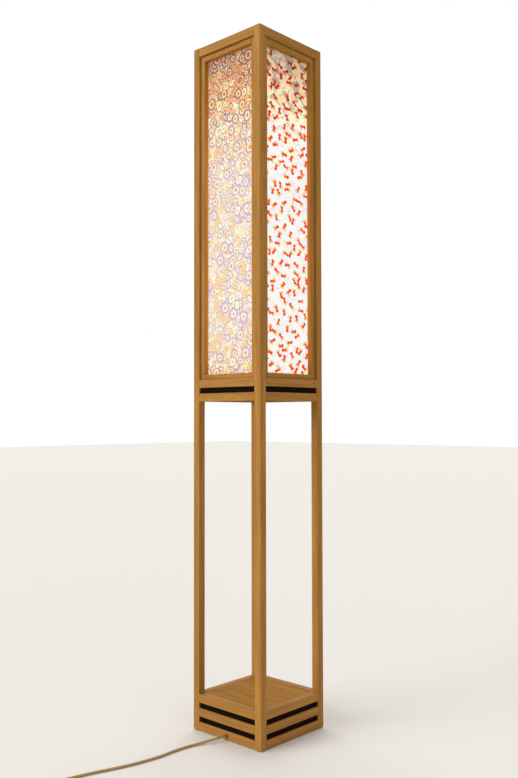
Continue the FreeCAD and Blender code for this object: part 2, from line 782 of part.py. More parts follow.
def swept(path, section):
    pipe = Part.BRepOffsetAPI.MakePipeShell(path)
    pipe.add(section)
    pipe.build()
    pipe.makeSolid()
    return pipe.shape()


def facet_section(path, radius, sides=CORD_SIDES):
    """A many-sided section across the start of a path, with a flat side down."""
    edge = path.Edges[0]
    start = edge.valueAt(edge.FirstParameter)
    forward = edge.tangentAt(edge.FirstParameter)
    across = Vector(0, 0, 1).cross(forward)
    if across.Length < 0.5:
        across = Vector(1, 0, 0)
    across.normalize()
    up = forward.cross(across)
    corners = []
    for i in range(sides + 1):
        angle = 2 * math.pi * (i + 0.5) / sides
        corners.append(start + across * (radius * math.cos(angle)) + up * (radius * math.sin(angle)))
    return Part.makePolygon(corners)


def report_tube(label, tube, path, section, radii=()):
    expected = path.Length * Part.Face(section).Area
    share = tube.Volume / expected
    print(f"{label}: {path.Length:.1f} mm long, volume {share:.4f} of section times length")
    if radii:
        print(f"{label}: bend radii " + ", ".join(f"{r:.0f}" for r in radii))
    if abs(share - 1) > VOLUME_TOLERANCE_SHARE:
        raise RuntimeError(f"{label}: the tube's volume is wrong")


def tube_along(name, label, points, largest=None):
    radius = value(CORD_RADIUS)
    path, radii = rounded_path(points, largest)
    section = facet_section(path, radius)
    tube = swept(path, section)
    report_tube(label, tube, path, section, radii)
    feature = doc.addObject("Part::Feature", name)
    feature.Shape = tube
    feature.Placement = Placement()
    return keep(feature, label)


def inner_lead():
    """The lead inside the lamp: down the stem, out to the far post, down its inner corner to
    the base, and to the hole in the front rail."""
    corner = value(LEAD_CORNER)
    stem_foot = value(f"{BAND_TOP} - Sizes.board_thick - Sizes.nut_thick - Sizes.stem_tail")
    across_z = stem_foot - value("Sizes.lead_drop")
    exit_z = value(CORD_EXIT_Z)
    top_z = value(f"{HOLDER_FOOT} + Sizes.cap_neck_height + Sizes.lead_end_depth")
    points = (
        (0, 0, top_z),
        (0, 0, across_z),
        (-corner, corner, across_z),
        (-corner, corner, exit_z),
        (0, value("Sizes.lead_turn_y"), exit_z),
        (0, -value(HALF), exit_z),
    )
    tube_along("InnerLead", "inner_lead", points, value("Sizes.lead_bend_radius"))


def clip_section():
    """A saddle seen along the lead, which lies at the origin with the post's corner above it:
    a many-sided hoop round the lead, two legs, and two feet flat on the post's faces."""
    bore = value(f"{CORD_RADIUS} + Sizes.clip_play")
    wall = value("Sizes.clip_wall")
    around = bore + wall
    apex = math.sqrt(2) * value(f"{INNER_HALF} - {LEAD_CORNER}")
    foot = value("Sizes.clip_foot") / math.sqrt(2)
    lift = wall / math.sqrt(2)
    half_side = math.pi / CORD_SIDES

    def hoop(flat_radius):
        corner = flat_radius / math.cos(half_side)
        angles = [-half_side * (2 * i + 1) for i in range(CORD_SIDES // 4)]
        return [Vector(corner * math.cos(a), corner * math.sin(a), 0) for a in angles]

    one_side = list(reversed(hoop(bore)))
    one_side += [
        Vector(bore, apex + bore, 0),
        Vector(bore + foot, apex + bore + foot, 0),
        Vector(bore + foot + lift, apex + bore + foot - lift, 0),
        Vector(around, apex + around - 2 * lift, 0),
    ]
    one_side += hoop(around)
    other_side = [Vector(-spot.x, spot.y, 0) for spot in reversed(one_side)]
    loop = one_side + other_side
    return Part.Face(Part.makePolygon(loop + loop[:1]))


def lead_clips():
    """Saddles that hold the lead on the inner corner of the far post, in the open middle."""
    centre = value(LEAD_CORNER)
    high = value("Sizes.clip_height")
    opening = value(BAND_FOOT) - value(BASE_TOP)
    clips = []
    for share in CLIP_HEIGHT_SHARES:
        clip = clip_section().extrude(Vector(0, 0, high))
        low = value(BASE_TOP) + opening * share - high / 2
        clip.Placement = Placement(Vector(-centre, centre, low), Rotation(Vector(0, 0, 1), 45))
        clips.append(clip)
    feature = doc.addObject("Part::Feature", "LeadClips")
    feature.Shape = Part.makeCompound(clips)
    feature.Placement = Placement()
    return keep(feature, "lead_clips")


def cord_grip():
    """The block behind the cord hole that pinches the lead, held by two screws."""
    blank = box("GripBlank", "Sizes.grip_width", "Sizes.grip_depth", "Sizes.grip_height")
    low = f"{CORD_EXIT_Z} - Sizes.grip_height / 2"
    place(blank, "-Sizes.grip_width / 2", f"-{INNER_HALF}", low)
    bore = prism("GripBore", f"{CORD_RADIUS} + Sizes.screw_play", "Sizes.grip_depth")
    place(bore, "0", f"-{INNER_HALF}", CORD_EXIT_Z, turn=REARWARD)
    spacing = "Sizes.grip_screw_spacing"
    holes = screw_pair("GripHole", spacing, CORD_EXIT_Z, GRIP_BITE, play="Sizes.screw_play")
    return keep(cut("Grip", blank, fused("GripTools", bore, *holes)), "cord_grip")


def floor_cord():
    switch_end = [value(f"Sizes.{name}") for name in ("switch_x", "switch_y", "switch_inlet_rise")]
    tube_along("CordRun", "cord_run", (*CORD_ROUTE, switch_end))


SWITCH_BODY_X = "(Sizes.switch_x + Sizes.relief_length)"
SWITCH_MIDDLE_X = f"({SWITCH_BODY_X} + Sizes.switch_length / 2)"
SWITCH_END_X = f"({SWITCH_BODY_X} + Sizes.switch_length + Sizes.relief_length)"
ALONG_X = Rotation(Vector(0, 1, 0), 90)


def relief(name, x, y, z, turn, big_first=False):
    """A tapered sleeve round the cord where it goes into a housing."""
    radii = ["Sizes.relief_small_radius", "Sizes.relief_big_radius"]
    if big_first:
        radii.reverse()
    return place(tapered(name, *radii, "Sizes.relief_length"), x, y, z, turn=turn)


def edges_at_top(shape, height):
    """The names of the edges that lie at a height."""
    found = []
    for number, edge in enumerate(shape.Edges, start=1):
        if all(abs(v.Z - height) < TINY for v in edge.Vertexes):
            found.append(f"Edge{number}")
    return found


def foot_switch():
    """The inline switch: a flat oblong housing with a round push button and two strain reliefs."""
    body = doc.addObject("PartDesign::Body", "SwitchShell")
    sketch = sketch_on(body, "Oblong", "XY_Plane")
    long = "Sizes.switch_length"
    wide = "Sizes.switch_width"
    corner = "Sizes.switch_corner_round"
    points = []
    for i, (across, up) in enumerate(((1, 1), (-1, 1), (-1, -1), (1, -1))):
        for step in range(CORNER_STEPS + 1):
            angle = math.pi / 2 * (i + step / CORNER_STEPS)
            x = f"{across} * ({long} / 2 - {corner}) + {math.cos(angle):.6f} * {corner}"
            y = f"{up} * ({wide} / 2 - {corner}) + {math.sin(angle):.6f} * {corner}"
            points.append((x, y))
    outline(sketch, "shell", points)
    shell = pad(body, "Shell", sketch, "Sizes.switch_height")
    doc.recompute()
    crown = body.newObject("PartDesign::Chamfer", "Crown")
    crown.Base = (shell, edges_at_top(shell.Shape, value("Sizes.switch_height")))
    bind(crown, Size="Sizes.switch_crown")
    place(body, SWITCH_MIDDLE_X, "Sizes.switch_y")
    level = ("Sizes.switch_y", "Sizes.switch_inlet_rise", ALONG_X)
    near = relief("NearRelief", "Sizes.switch_x", *level)
    far = relief("FarRelief", f"{SWITCH_END_X} - Sizes.relief_length", *level, big_first=True)
    well_depth = "(Sizes.button_depth + Sizes.button_travel + Sizes.button_play)"
    well = prism("ButtonWell", "Sizes.button_radius + Sizes.button_play", well_depth)
    place(well, SWITCH_MIDDLE_X, "Sizes.switch_y", f"Sizes.switch_height - {well_depth}")
    keep(cut("SwitchHousing", fused("SwitchSolid", body, near, far), well), "foot_switch_housing")
    high = "Sizes.button_depth + Sizes.button_rise"
    button = turned(
        "SwitchButton",
        (
            ("0", "0"),
            ("Sizes.button_radius", "0"),
            ("Sizes.button_radius", f"{high} - Sizes.button_edge_round"),
            ("Sizes.button_radius - Sizes.button_edge_round", high),
            ("0", high),
        ),
    )
    place(button, SWITCH_MIDDLE_X, "Sizes.switch_y", "Sizes.switch_height - Sizes.button_depth")
    keep(button, "foot_switch_button")


def biarc(p0, t0, p1, t1):
    """Two tangent arcs from one point and direction to another, each as its three points."""
    span = p1 - p0
    both = t0 + t1
    spread = 2 * (1 - t0.dot(t1))
    along = span.dot(both)
    if spread < TINY:
        reach = span.Length**2 / (4 * span.dot(t1))
    else:
        reach = (-along + math.sqrt(along**2 + spread * span.Length**2)) / spread
    q0 = p0 + t0 * reach
    q1 = p1 - t1 * reach
    joint = (q0 + q1) * 0.5
    return (p0, q0, joint), (joint, q1, p1)


def arc_edge(start, corner, end):
    """The arc that leaves start towards corner and comes to end from it."""
    back = (start - corner).normalize()
    onward = (end - corner).normalize()
    half_turn = (math.pi - back.getAngle(onward)) / 2
    if half_turn < TINY:
        return Part.LineSegment(start, end).toShape()
    radius = (start - corner).Length / math.tan(half_turn)
    inward = (back + onward).normalize()
    middle = corner + inward * (radius / math.cos(half_turn) - radius)
    return Part.Arc(start, middle, end).toShape()


def coil_stations():
    """Places and directions a quarter turn apart along the coil: in along the floor layer,
    up in the half turn where the spiral reverses, and out along the layer above."""
    pitch = value("Sizes.coil_pitch")
    outer = value(COIL_OUTER)
    low = value(COIL_Z)
    centre = coil_centre()
    quarters_out = round(4 * COIL_TURNS_PER_LAYER)
    quarters_in = quarters_out - 1
    quarters_up = 2
    stations = []
    total = quarters_in + quarters_up + quarters_out
    for i in range(total + 1):
        angle = -math.pi / 2 + i * math.pi / 2
        innermost = quarters_in + quarters_up / 2
        inward = min(i, innermost)
        outward = max(i - innermost, 0)
        radius = outer - pitch * (inward - outward) / 4
        lift = min(max(i - quarters_in, 0), quarters_up) / quarters_up
        outwards = Vector(math.cos(angle), math.sin(angle), 0)
        spot = centre + outwards * radius + Vector(0, 0, low + lift * pitch)
        heading = Vector(-outwards.y, outwards.x, 0)
        if quarters_in < i < quarters_in + quarters_up:
            heading.z = pitch / (radius * math.pi)
        stations.append((spot, heading.normalize()))
    return stations


def coil_centre():
    """The middle of the coil, so that its first turn starts where the switch's tail ends."""
    start_x = value(f"{SWITCH_END_X} + Sizes.cord_diameter + Sizes.tail_length")
    return Vector(start_x, value(f"Sizes.switch_y + {COIL_OUTER}"), 0)


def cord_coil():
    """The rest of the cord, wound on the floor in two layers, from the switch to the plug."""
    diameter = value("Sizes.cord_diameter")
    along_x = Vector(1, 0, 0)
    along_y = Vector(0, 1, 0)
    switch_z = value("Sizes.switch_inlet_rise")
    switch_face = Vector(value(SWITCH_END_X), value("Sizes.switch_y"), switch_z)
    plug_face = plug_inlet()
    edges = [Part.LineSegment(switch_face, switch_face + along_x * diameter).toShape()]
    legs = [(switch_face + along_x * diameter, along_x)]
    legs += coil_stations()
    legs.append((plug_face - along_y * diameter, along_y))
    for (p0, t0), (p1, t1) in zip(legs, legs[1:]):
        for corner_points in biarc(p0, t0, p1, t1):
            edges.append(arc_edge(*corner_points))
    edges.append(Part.LineSegment(plug_face - along_y * diameter, plug_face).toShape())
    path = Part.Wire(edges)
    same_area_radius = diameter / 2 * math.sqrt(math.pi / 2)
    section = facet_section(path, same_area_radius, COIL_SIDES)
    tube = swept(path, section)
    report_tube("cord_coil", tube, path, section)
    print(f"cord_coil: least gap to itself {least_gap(path, diameter):.2f} mm")
    feature = doc.addObject("Part::Feature", "CordCoil")
    feature.Shape = tube
    feature.Placement = Placement()
    return keep(feature, "cord_coil")


def least_gap(path, diameter):
    """The least distance between turns, measured on points along the middle of the cord."""
    step = diameter / 2
    points = path.discretize(Distance=step)
    skip = int(4 * diameter / step)
    least = min(
        (points[j] - points[i]).Length
        for i in range(len(points))
        for j in range(i + skip, len(points))
    )
    return least - diameter


def plug_inlet():
    last_spot, _ = coil_stations()[-1]
    y = last_spot.y + value("Sizes.tail_length + Sizes.cord_diameter")
    return Vector(last_spot.x, y, value("Sizes.plug_thick / 2"))


def coil_tie():
    """A strap that goes round the coil's bundle on the side away from the plug."""
    pitch = value("Sizes.coil_pitch")
    thick = value("Sizes.tie_thick")
    play = value("Sizes.tie_play")
    radius = value(CORD_RADIUS)
    wide = value("Sizes.tie_width")
    outer = value(COIL_OUTER)
    inner = outer - pitch * COIL_TURNS_PER_LAYER
    centre = coil_centre()
    reach_out = centre.x - outer - radius - play
    reach_in = centre.x - inner + radius + play
    low = value(COIL_Z) - radius - play
    high = value(COIL_Z) + pitch * (COIL_LAYERS - 1) + radius + play
    outside = Part.makeBox(
        reach_in - reach_out + 2 * thick,
        wide,
        high - low + 2 * thick,
        Vector(reach_out - thick, centre.y - wide / 2, low - thick),
    )
    inside = Part.makeBox(
        reach_in - reach_out, wide, high - low, Vector(reach_out, centre.y - wide / 2, low)
    )
    rounded = outside.makeFillet(
        2 * thick, [e for e in outside.Edges if abs(e.tangentAt(e.FirstParameter).y) > 0.9]
    )
    feature = doc.addObject("Part::Feature", "CoilTie")
    feature.Shape = rounded.cut(inside)
    feature.Placement = Placement()
    return keep(feature, "coil_tie")


def plug():
    """A flat two-pin plug: a wedge-shaped body with a tapered strain relief."""
    inlet = plug_inlet()
    body = doc.addObject("PartDesign::Body", "PlugBody")
    sketch = sketch_on(body, "Wedge", "XY_Plane")
    nose = "Sizes.plug_nose_width / 2"
    back = "Sizes.relief_big_radius"
    half = "Sizes.plug_width / 2"
    long = "Sizes.plug_length"
    shoulder = f"{long} / 2"
    outline(
        sketch,
        "wedge",
        (
            (f"-{back}", "0"),
            (back, "0"),
            (half, shoulder),
            (nose, long),
            (f"-{nose}", long),
            (f"-{half}", shoulder),
        ),
    )
    slab = pad(body, "Slab", sketch, "Sizes.plug_thick")
    doc.recompute()
    corners = body.newObject("PartDesign::Chamfer", "Corners")
    corners.Base = (slab, edges_along(slab.Shape, Vector(0, 0, 1), value("Sizes.plug_thick")))
    bind(corners, Size="Sizes.plug_corner")
    x = str(inlet.x)
    y = str(inlet.y)
    z = "Sizes.plug_thick / 2"
    place(body, x, f"{y} + Sizes.relief_length")
    taper = relief("PlugRelief", x, y, z, REARWARD)
    holes = []
    pins = []
    root_y = f"{y} + Sizes.relief_length + Sizes.plug_length - Sizes.pin_root"
    for i, sign in enumerate(("-", "+")):
        spot = (f"{x} {sign} Sizes.pin_spacing / 2", root_y, z)
        for kind, play, listed in (("Pin", "0", pins), ("PinHole", "Sizes.screw_play", holes)):
            long_pin = "Sizes.pin_root + Sizes.pin_length"
            round_pin = prism(f"{kind}{i}", f"Sizes.pin_radius + {play}", long_pin)
            listed.append(place(round_pin, *spot, turn=REARWARD))
    keep(cut("Plug", fused("PlugShell", body, taper), fused("PinHoles", *holes)), "plug_body")
    keep(group("Pins", pins), "plug_pins")


def check_and_export():
    """Stops on any failed object or bad shape, then writes each sub-part's STEP file."""
    doc.recompute()
    for thing in doc.Objects:
        if "Invalid" in thing.State or "Error" in thing.State:
            raise RuntimeError(f"{thing.Label}: {thing.State}")
    for node in nodes:
        if node.Shape.isNull() or not node.Shape.isValid():
            raise RuntimeError(f"{node.Label}: bad shape")
    os.makedirs("parts", exist_ok=True)
    for node in nodes:
        node.Shape.exportStep(f"parts/{node.Label}.step")
    print(f"{len(nodes)} sub-parts, {sum(len(n.Shape.Solids) for n in nodes)} solids")


def main():
    fill_sheet()
    for quarter, label in enumerate(POSTS):
        post(label, quarter)
    frame_rails()
    spacers()
    boards()
    cleats_and_screws()
    panels()
    felt_pads()
    stem_and_nuts()
    lamp_holder()
    bulb()
    inner_lead()
    lead_clips()
    cord_grip()
    floor_cord()
    foot_switch()
    cord_coil()
    coil_tie()
    plug()
    check_and_export()


main()
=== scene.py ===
"""Dresses the paper lantern floor lamp: timber, printed papers, bulb, cord, switch and plug."""

import math
from functools import partial
from typing import NamedTuple

import bmesh
import bpy
from bpy.props import FloatProperty, FloatVectorProperty, IntProperty, PointerProperty
from mathutils import Matrix, Vector


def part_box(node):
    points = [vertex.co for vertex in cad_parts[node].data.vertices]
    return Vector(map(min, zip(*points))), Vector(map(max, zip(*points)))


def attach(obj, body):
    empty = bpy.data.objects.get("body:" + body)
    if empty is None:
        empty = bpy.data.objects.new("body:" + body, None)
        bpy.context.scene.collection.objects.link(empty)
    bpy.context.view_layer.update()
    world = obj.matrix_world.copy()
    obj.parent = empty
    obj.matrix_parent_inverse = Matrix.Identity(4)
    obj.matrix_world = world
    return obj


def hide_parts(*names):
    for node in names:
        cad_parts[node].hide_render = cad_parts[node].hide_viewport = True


bl_info = {
    "name": "Lantern floor lamp",
    "version": (1, 0, 0),
    "blender": (4, 5, 0),
    "location": "3D View > Sidebar > Floor lamp",
    "description": "Dresses a wooden floor lamp with printed paper panels, its bulb and its cord",
    "category": "Object",
}

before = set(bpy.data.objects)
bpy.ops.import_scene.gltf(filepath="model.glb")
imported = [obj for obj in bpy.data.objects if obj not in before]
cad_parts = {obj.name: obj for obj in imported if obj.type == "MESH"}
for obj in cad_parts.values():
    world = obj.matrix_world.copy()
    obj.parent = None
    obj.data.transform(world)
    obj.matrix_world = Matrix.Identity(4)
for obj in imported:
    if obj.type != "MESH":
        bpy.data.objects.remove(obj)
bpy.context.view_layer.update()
LAMP = "lamp"
SWITCH_BUTTON = "switch_button"
SIDES = ("front", "right", "back", "left")

# The photograph's camera, fitted to the lamp's corners: its place in metres, its yaw, pitch and
# roll in degrees, and its lens before a sensor 36 mm wide.
CAMERA_PLACE = (1.5196, -1.6202, 0.7741)
CAMERA_TURNS = (43.104, 1.929, -0.11)
CAMERA_LENS = 40.579

# The floor cord's route from the rail to the switch, chosen along the photographed line.
CORD_ROUTE = (
    (0.0, -0.115, 0.012),
    (0.0, -0.133, 0.012),
    (-0.014, -0.158, 0.0075),
    (-0.027, -0.185, 0.0034),
    (-0.033, -0.212, 0.0032),
    (-0.035, -0.25, 0.0032),
    (-0.033, -0.286, 0.0032),
    (-0.037, -0.328, 0.0032),
    (-0.045, -0.372, 0.0032),
    (-0.057, -0.414, 0.0032),
    (-0.07, -0.452, 0.0032),
    (-0.08, -0.492, 0.0032),
    (-0.088, -0.526, 0.0032),
    (-0.088, -0.554, 0.0032),
    (-0.074, -0.579, 0.0034),
    (-0.046, -0.592, 0.0066),
    (-0.008, -0.592, 0.0066),
)

# The height at which the cord enters and leaves the switch.
SWITCH_INLET = CORD_ROUTE[-1][2]

# The lead inside the lamp: stem, cross-over, far post's inner corner, base, front rail. Its
# runs are straight, so each corner has a point about six diameters before and after it.
INNER_ROUTE = (
    (0.0, 0.0, 1.095),
    (0.0, 0.0, 0.868),
    (0.0, 0.0, 0.8315),
    (-0.026, 0.026, 0.8315),
    (-0.066, 0.066, 0.8315),
    (-0.0917, 0.0917, 0.8315),
    (-0.0917, 0.0917, 0.795),
    (-0.0917, 0.0917, 0.048),
    (-0.0917, 0.0917, 0.012),
    (-0.072, 0.062, 0.012),
    (-0.02, -0.015, 0.012),
    (0.0, -0.045, 0.012),
    (0.0, -0.08, 0.012),
    (0.0, -0.115, 0.012),
)


def linear(hex_colour):
    """An sRGB hex colour as linear red, green, blue and alpha."""
    shares = [int(hex_colour[i : i + 2], 16) / 255 for i in (1, 3, 5)]
    return tuple(c / 12.92 if c <= 0.04045 else ((c + 0.055) / 1.055) ** 2.4 for c in shares) + (1,)


def colour(name, text, hex_colour):
    """A setting that holds a colour."""
    return FloatVectorProperty(
        name=name, description=text, default=linear(hex_colour), size=4, min=0, max=1, subtype="COLOR"
    )


def length(name, text, metres):
    """A setting that holds a length."""
    return FloatProperty(
        name=name, description=text, default=metres, min=0, unit="LENGTH", subtype="DISTANCE"
    )


def amount(name, text, value, least=0):
    """A setting that holds a plain number."""
    return FloatProperty(name=name, description=text, default=value, min=least)


class TimberSettings(bpy.types.PropertyGroup):
    """The blond frame timber and the dark strips."""

    pale: colour("Pale wood", "The earlywood between the growth bands", "#B5823A")
    warm: colour("Warm wood", "The latewood bands", "#9C6C2D")
    fleck: colour("Flecks", "The short dark flecks of the rays", "#6E441C")
    # The strips' colour is their dark stain, made darker still as painted shade of their recess.
    dark: colour("Dark wood", "The stained strips in the slots", "#130A06")
    # The knot colour also paints the shade in and round the cord's hole.
    knot: colour("Knots", "The pin knot and the rim of the cord's hole", "#2A140A")
    lit_edge: colour("Lit edges", "The papers' light on the panels' inner edges", "#E0742A")
    band_width: length("Band width", "The width of one growth band", 0.016)
    fibre_width: length("Fibre width", "The width of one fibre streak", 0.0022)


class PaperSettings(bpy.types.PropertyGroup):
    """The printed papers and how the bulb lights them."""

    ground: colour("Paper", "The unprinted paper", "#F7EFDC")
    lavender: colour("Lavender ink", "The outlines of the rings", "#5E4A68")
    mist: colour("Mist ink", "The bands inside the outlines", "#A88A9E")
    orange: colour("Orange ink", "The warm rings and the fins", "#D87836")
    peach: colour("Peach ink", "The warm bands", "#DE8C62")
    cream: colour("Cream ink", "The palest filling", "#F3CF95")
    red: colour("Red ink", "The fishes' bodies", "#B43208")
    slate: colour("Slate ink", "The dashes between the fishes", "#6E6E8C")
    water: colour("Water ink", "The pale streaks of water", "#BAB6B8")
    gain: amount("Light", "The bulb's light through the sheet", 3.2)
    ring_glow: amount("Ring glow", "How bright the ringed sheets look", 0.77)
    fish_glow: amount("Fish glow", "How bright the fish sheets look", 0.83)
    reflection: amount("Reflection", "How much of the room's light a sheet gives back", 0.2)
    ring_cell: length("Ring spacing", "The mean distance between rings", 0.029)
    fish_cell: length("Fish spacing", "The mean distance between fishes", 0.0275)


class CordSettings(bpy.types.PropertyGroup):
    """The cord, and the coil that its unseen length is put away in."""

    sheath: colour("Sheath", "The gold-brown sheath of the cord", "#A98545")
    moulded: colour("Moulded parts", "The switch's housing and the plug", "#5A4330")
    diameter: length("Diameter", "The cord's diameter", 0.006)
    coil_outer: length("Coil radius", "The radius at the middle of the outer turn", 0.04375)
    coil_pitch: length("Coil pitch", "From one turn to the next, across and up", 0.007)
    coil_turns: amount("Turns", "Turns in each layer", 2.5, least=1)
    points_per_turn: IntProperty(name="Points", description="Spline points a turn", default=16, min=12)


# Meshes


def finished(name, bm, material, sharp_degrees=35):
    """Turns a bmesh into a named object with the material, smooth but for its sharp edges."""
    bmesh.ops.remove_doubles(bm, verts=bm.verts, dist=1e-6)
    bmesh.ops.recalc_face_normals(bm, faces=bm.faces)
    limit = math.radians(sharp_degrees)
    for face in bm.faces:
        face.smooth = True
    for edge in bm.edges:
        edge.smooth = len(edge.link_faces) == 2 and edge.calc_face_angle(0) < limit
    mesh = bpy.data.meshes.new(name)
    bm.to_mesh(mesh)
    bm.free()
    mesh.materials.append(material)
    made = bpy.data.objects.new(name, mesh)
    bpy.context.scene.collection.objects.link(made)
    return made


def settle(piece, slot, *nodes, body=LAMP):
    """Makes a piece ride on its body, and hides the CAD nodes that it stands in for; its slot is not
    used.
    """
    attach(piece, body)
    if nodes:
        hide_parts(*nodes)


def spin_outline(bm, outline, steps, closed=False):
    """Spins an outline of radius and height pairs about Z, and returns the new vertices."""
    known = set(bm.verts)
    verts = [bm.verts.new((radius, 0, height)) for radius, height in outline]
    pairs = zip(verts, verts[1:] + verts[:1]) if closed else zip(verts, verts[1:])
    edges = [bm.edges.new(pair) for pair in pairs]
    bmesh.ops.spin(
        bm,
        geom=verts + edges,
        cent=(0, 0, 0),
        axis=(0, 0, 1),
        angle=2 * math.pi,
        steps=steps,
        use_merge=True,
    )
    bmesh.ops.remove_doubles(bm, verts=[v for v in bm.verts if v not in known], dist=1e-6)
    return [v for v in bm.verts if v not in known]


def helix(bm, outline, pitch, turns, steps):
    """Sweeps an open outline of one pitch up a screw about Z."""
    known = set(bm.verts)
    verts = [bm.verts.new((radius, 0, height)) for radius, height in outline]
    edges = [bm.edges.new(pair) for pair in zip(verts, verts[1:])]
    total = round(turns * steps)
    bmesh.ops.spin(
        bm,
        geom=verts + edges,
        cent=(0, 0, 0),
        axis=(0, 0, 1),
        dvec=(0, 0, pitch / steps),
        angle=2 * math.pi * total / steps,
        steps=total,
        use_merge=False,
    )
    return [v for v in bm.verts if v not in known]


# In place of a ring's power: a hexagon with that half size across its corners.
HEXAGON = 0


def stacked(bm, rings, count, close=False):
    """Extrudes a loop through rings. Each ring is its height, its half sizes across X and Y,
    and the power of its superellipse: 2 is round, more is squarer."""

    def spot(ring, angle):
        height, half_x, half_y, power = ring
        c, s = math.cos(angle), math.sin(angle)
        if power == HEXAGON:
            half_side = math.pi / 6
            reach = half_x * math.cos(half_side) / math.cos(angle % (2 * half_side) - half_side)
        else:
            reach = (abs(c / half_x) ** power + abs(s / half_y) ** power) ** (-1 / power)
        return Vector((c * reach, s * reach, height))

    known = set(bm.verts)
    bmesh.ops.create_circle(bm, segments=count, radius=1)
    loop = [v for v in bm.verts if v not in known]
    angles = [math.atan2(v.co.y, v.co.x) for v in loop]
    for v, angle in zip(loop, angles):
        v.co = spot(rings[0], angle)
    first = loop
    for ring in rings[1:]:
        edges = [e for e in bm.edges if e.verts[0] in loop and e.verts[1] in loop]
        grown = bmesh.ops.extrude_edge_only(bm, edges=edges)["geom"]
        new = [g for g in grown if isinstance(g, bmesh.types.BMVert)]
        for v in new:
            v.co = spot(ring, math.atan2(v.co.y, v.co.x))
        loop = new
    ends = []
    for rim in (first, loop):
        ends.append([e for e in bm.edges if e.verts[0] in rim and e.verts[1] in rim])
    if close:
        bmesh.ops.bridge_loops(bm, edges=ends[0] + ends[1])
    else:
        for edges in ends:
            bmesh.ops.edgeloop_fill(bm, edges=edges)
    return [v for v in bm.verts if v not in known]


def turned_to(axis):
    """The turn that takes +Z to an axis."""
    return Vector((0, 0, 1)).rotation_difference(Vector(axis)).to_matrix()


def put(bm, verts, place, axis=None):
    """Turns vertices from Z to the axis about the origin, then moves them."""
    if axis is not None:
        bmesh.ops.rotate(bm, verts=verts, cent=(0, 0, 0), matrix=turned_to(axis))
    bmesh.ops.translate(bm, verts=verts, vec=place)


def arc_points(centre, radius, first_degrees, last_degrees, steps):
    """Radius and height pairs along an arc, ends included."""
    points = []
    for i in range(steps + 1):
        angle = math.radians(first_degrees + (last_degrees - first_degrees) * i / steps)
        points.append((centre[0] + radius * math.cos(angle), centre[1] + radius * math.sin(angle)))
    return points


def spline_tube(name, points, diameter, material):
    """A round tube on one smooth open spline that has the points as its control points."""
    curve = bpy.data.curves.new(name, "CURVE")
    curve.dimensions = "3D"
    spline = curve.splines.new("NURBS")
    spline.points.add(len(points) - 1)
    for control, place in zip(spline.points, points):
        control.co = (*place, 1)
    spline.order_u = 3
    spline.use_endpoint_u = True
    spline.resolution_u = 8
    curve.bevel_depth = diameter / 2
    curve.bevel_resolution = 4
    curve.use_fill_caps = True
    curve.materials.append(material)
    made = bpy.data.objects.new(name, curve)
    bpy.context.scene.collection.objects.link(made)
    return made


# Materials


def add_node(tree, kind, settings, inputs):
    """Adds a shader node. An input is a value, a socket, or a node whose first output in use
    is taken."""
    made = tree.nodes.new("ShaderNode" + kind)
    for key, setting in settings.items():
        setattr(made, key, setting)
    for key, given in inputs.items():
        if isinstance(given, bpy.types.Node):
            given = next(socket for socket in given.outputs if socket.enabled)
        if isinstance(given, bpy.types.NodeSocket):
            tree.links.new(given, made.inputs[key])
        else:
            made.inputs[key].default_value = given
    return made


def new_material(name):
    """An empty material, the function that adds its nodes, and the place on the object."""
    material = bpy.data.materials.new(name)
    material.use_nodes = True
    material.node_tree.nodes.clear()
    add = partial(add_node, material.node_tree)
    return material, add, add("TexCoord", {}, {}).outputs["Object"]


def surfaced(material, add, view_colour, inputs):
    """Closes a material with the Principled shader."""
    shader = add("BsdfPrincipled", {}, inputs)
    add("OutputMaterial", {}, {"Surface": shader})
    material.diffuse_color = view_colour
    return material


def set_stops(node, stops, sharp=False):
    """Gives a colour ramp its stops, each a position and a colour."""
    band = node.color_ramp
    band.interpolation = "CONSTANT" if sharp else "LINEAR"
    while len(band.elements) > 1:
        band.elements.remove(band.elements[-1])
    band.elements[0].position, band.elements[0].color = stops[0]
    for position, shade in stops[1:]:
        band.elements.new(position).color = shade
    return node


def scaled(shade, share):
    """A colour made darker or lighter by a share."""
    return tuple(min(c * share, 1) for c in shade[:3]) + (1,)


# Two kinds of Mix node. Its inputs go by number: 0 is the share, 4 and 5 are the vectors,
# 6 and 7 the colours.
RGB = {"data_type": "RGBA"}
VECTOR = {"data_type": "VECTOR"}
# Stretches the grain about fifteen times along the stick.
STRETCH = {"X": (0.07, 1, 1), "Y": (1, 0.07, 1), "Z": (1, 1, 0.07)}
# How much planed wood shines under lacquer, and where it is only oiled.
LACQUERED, OILED = 0.16, 0.03


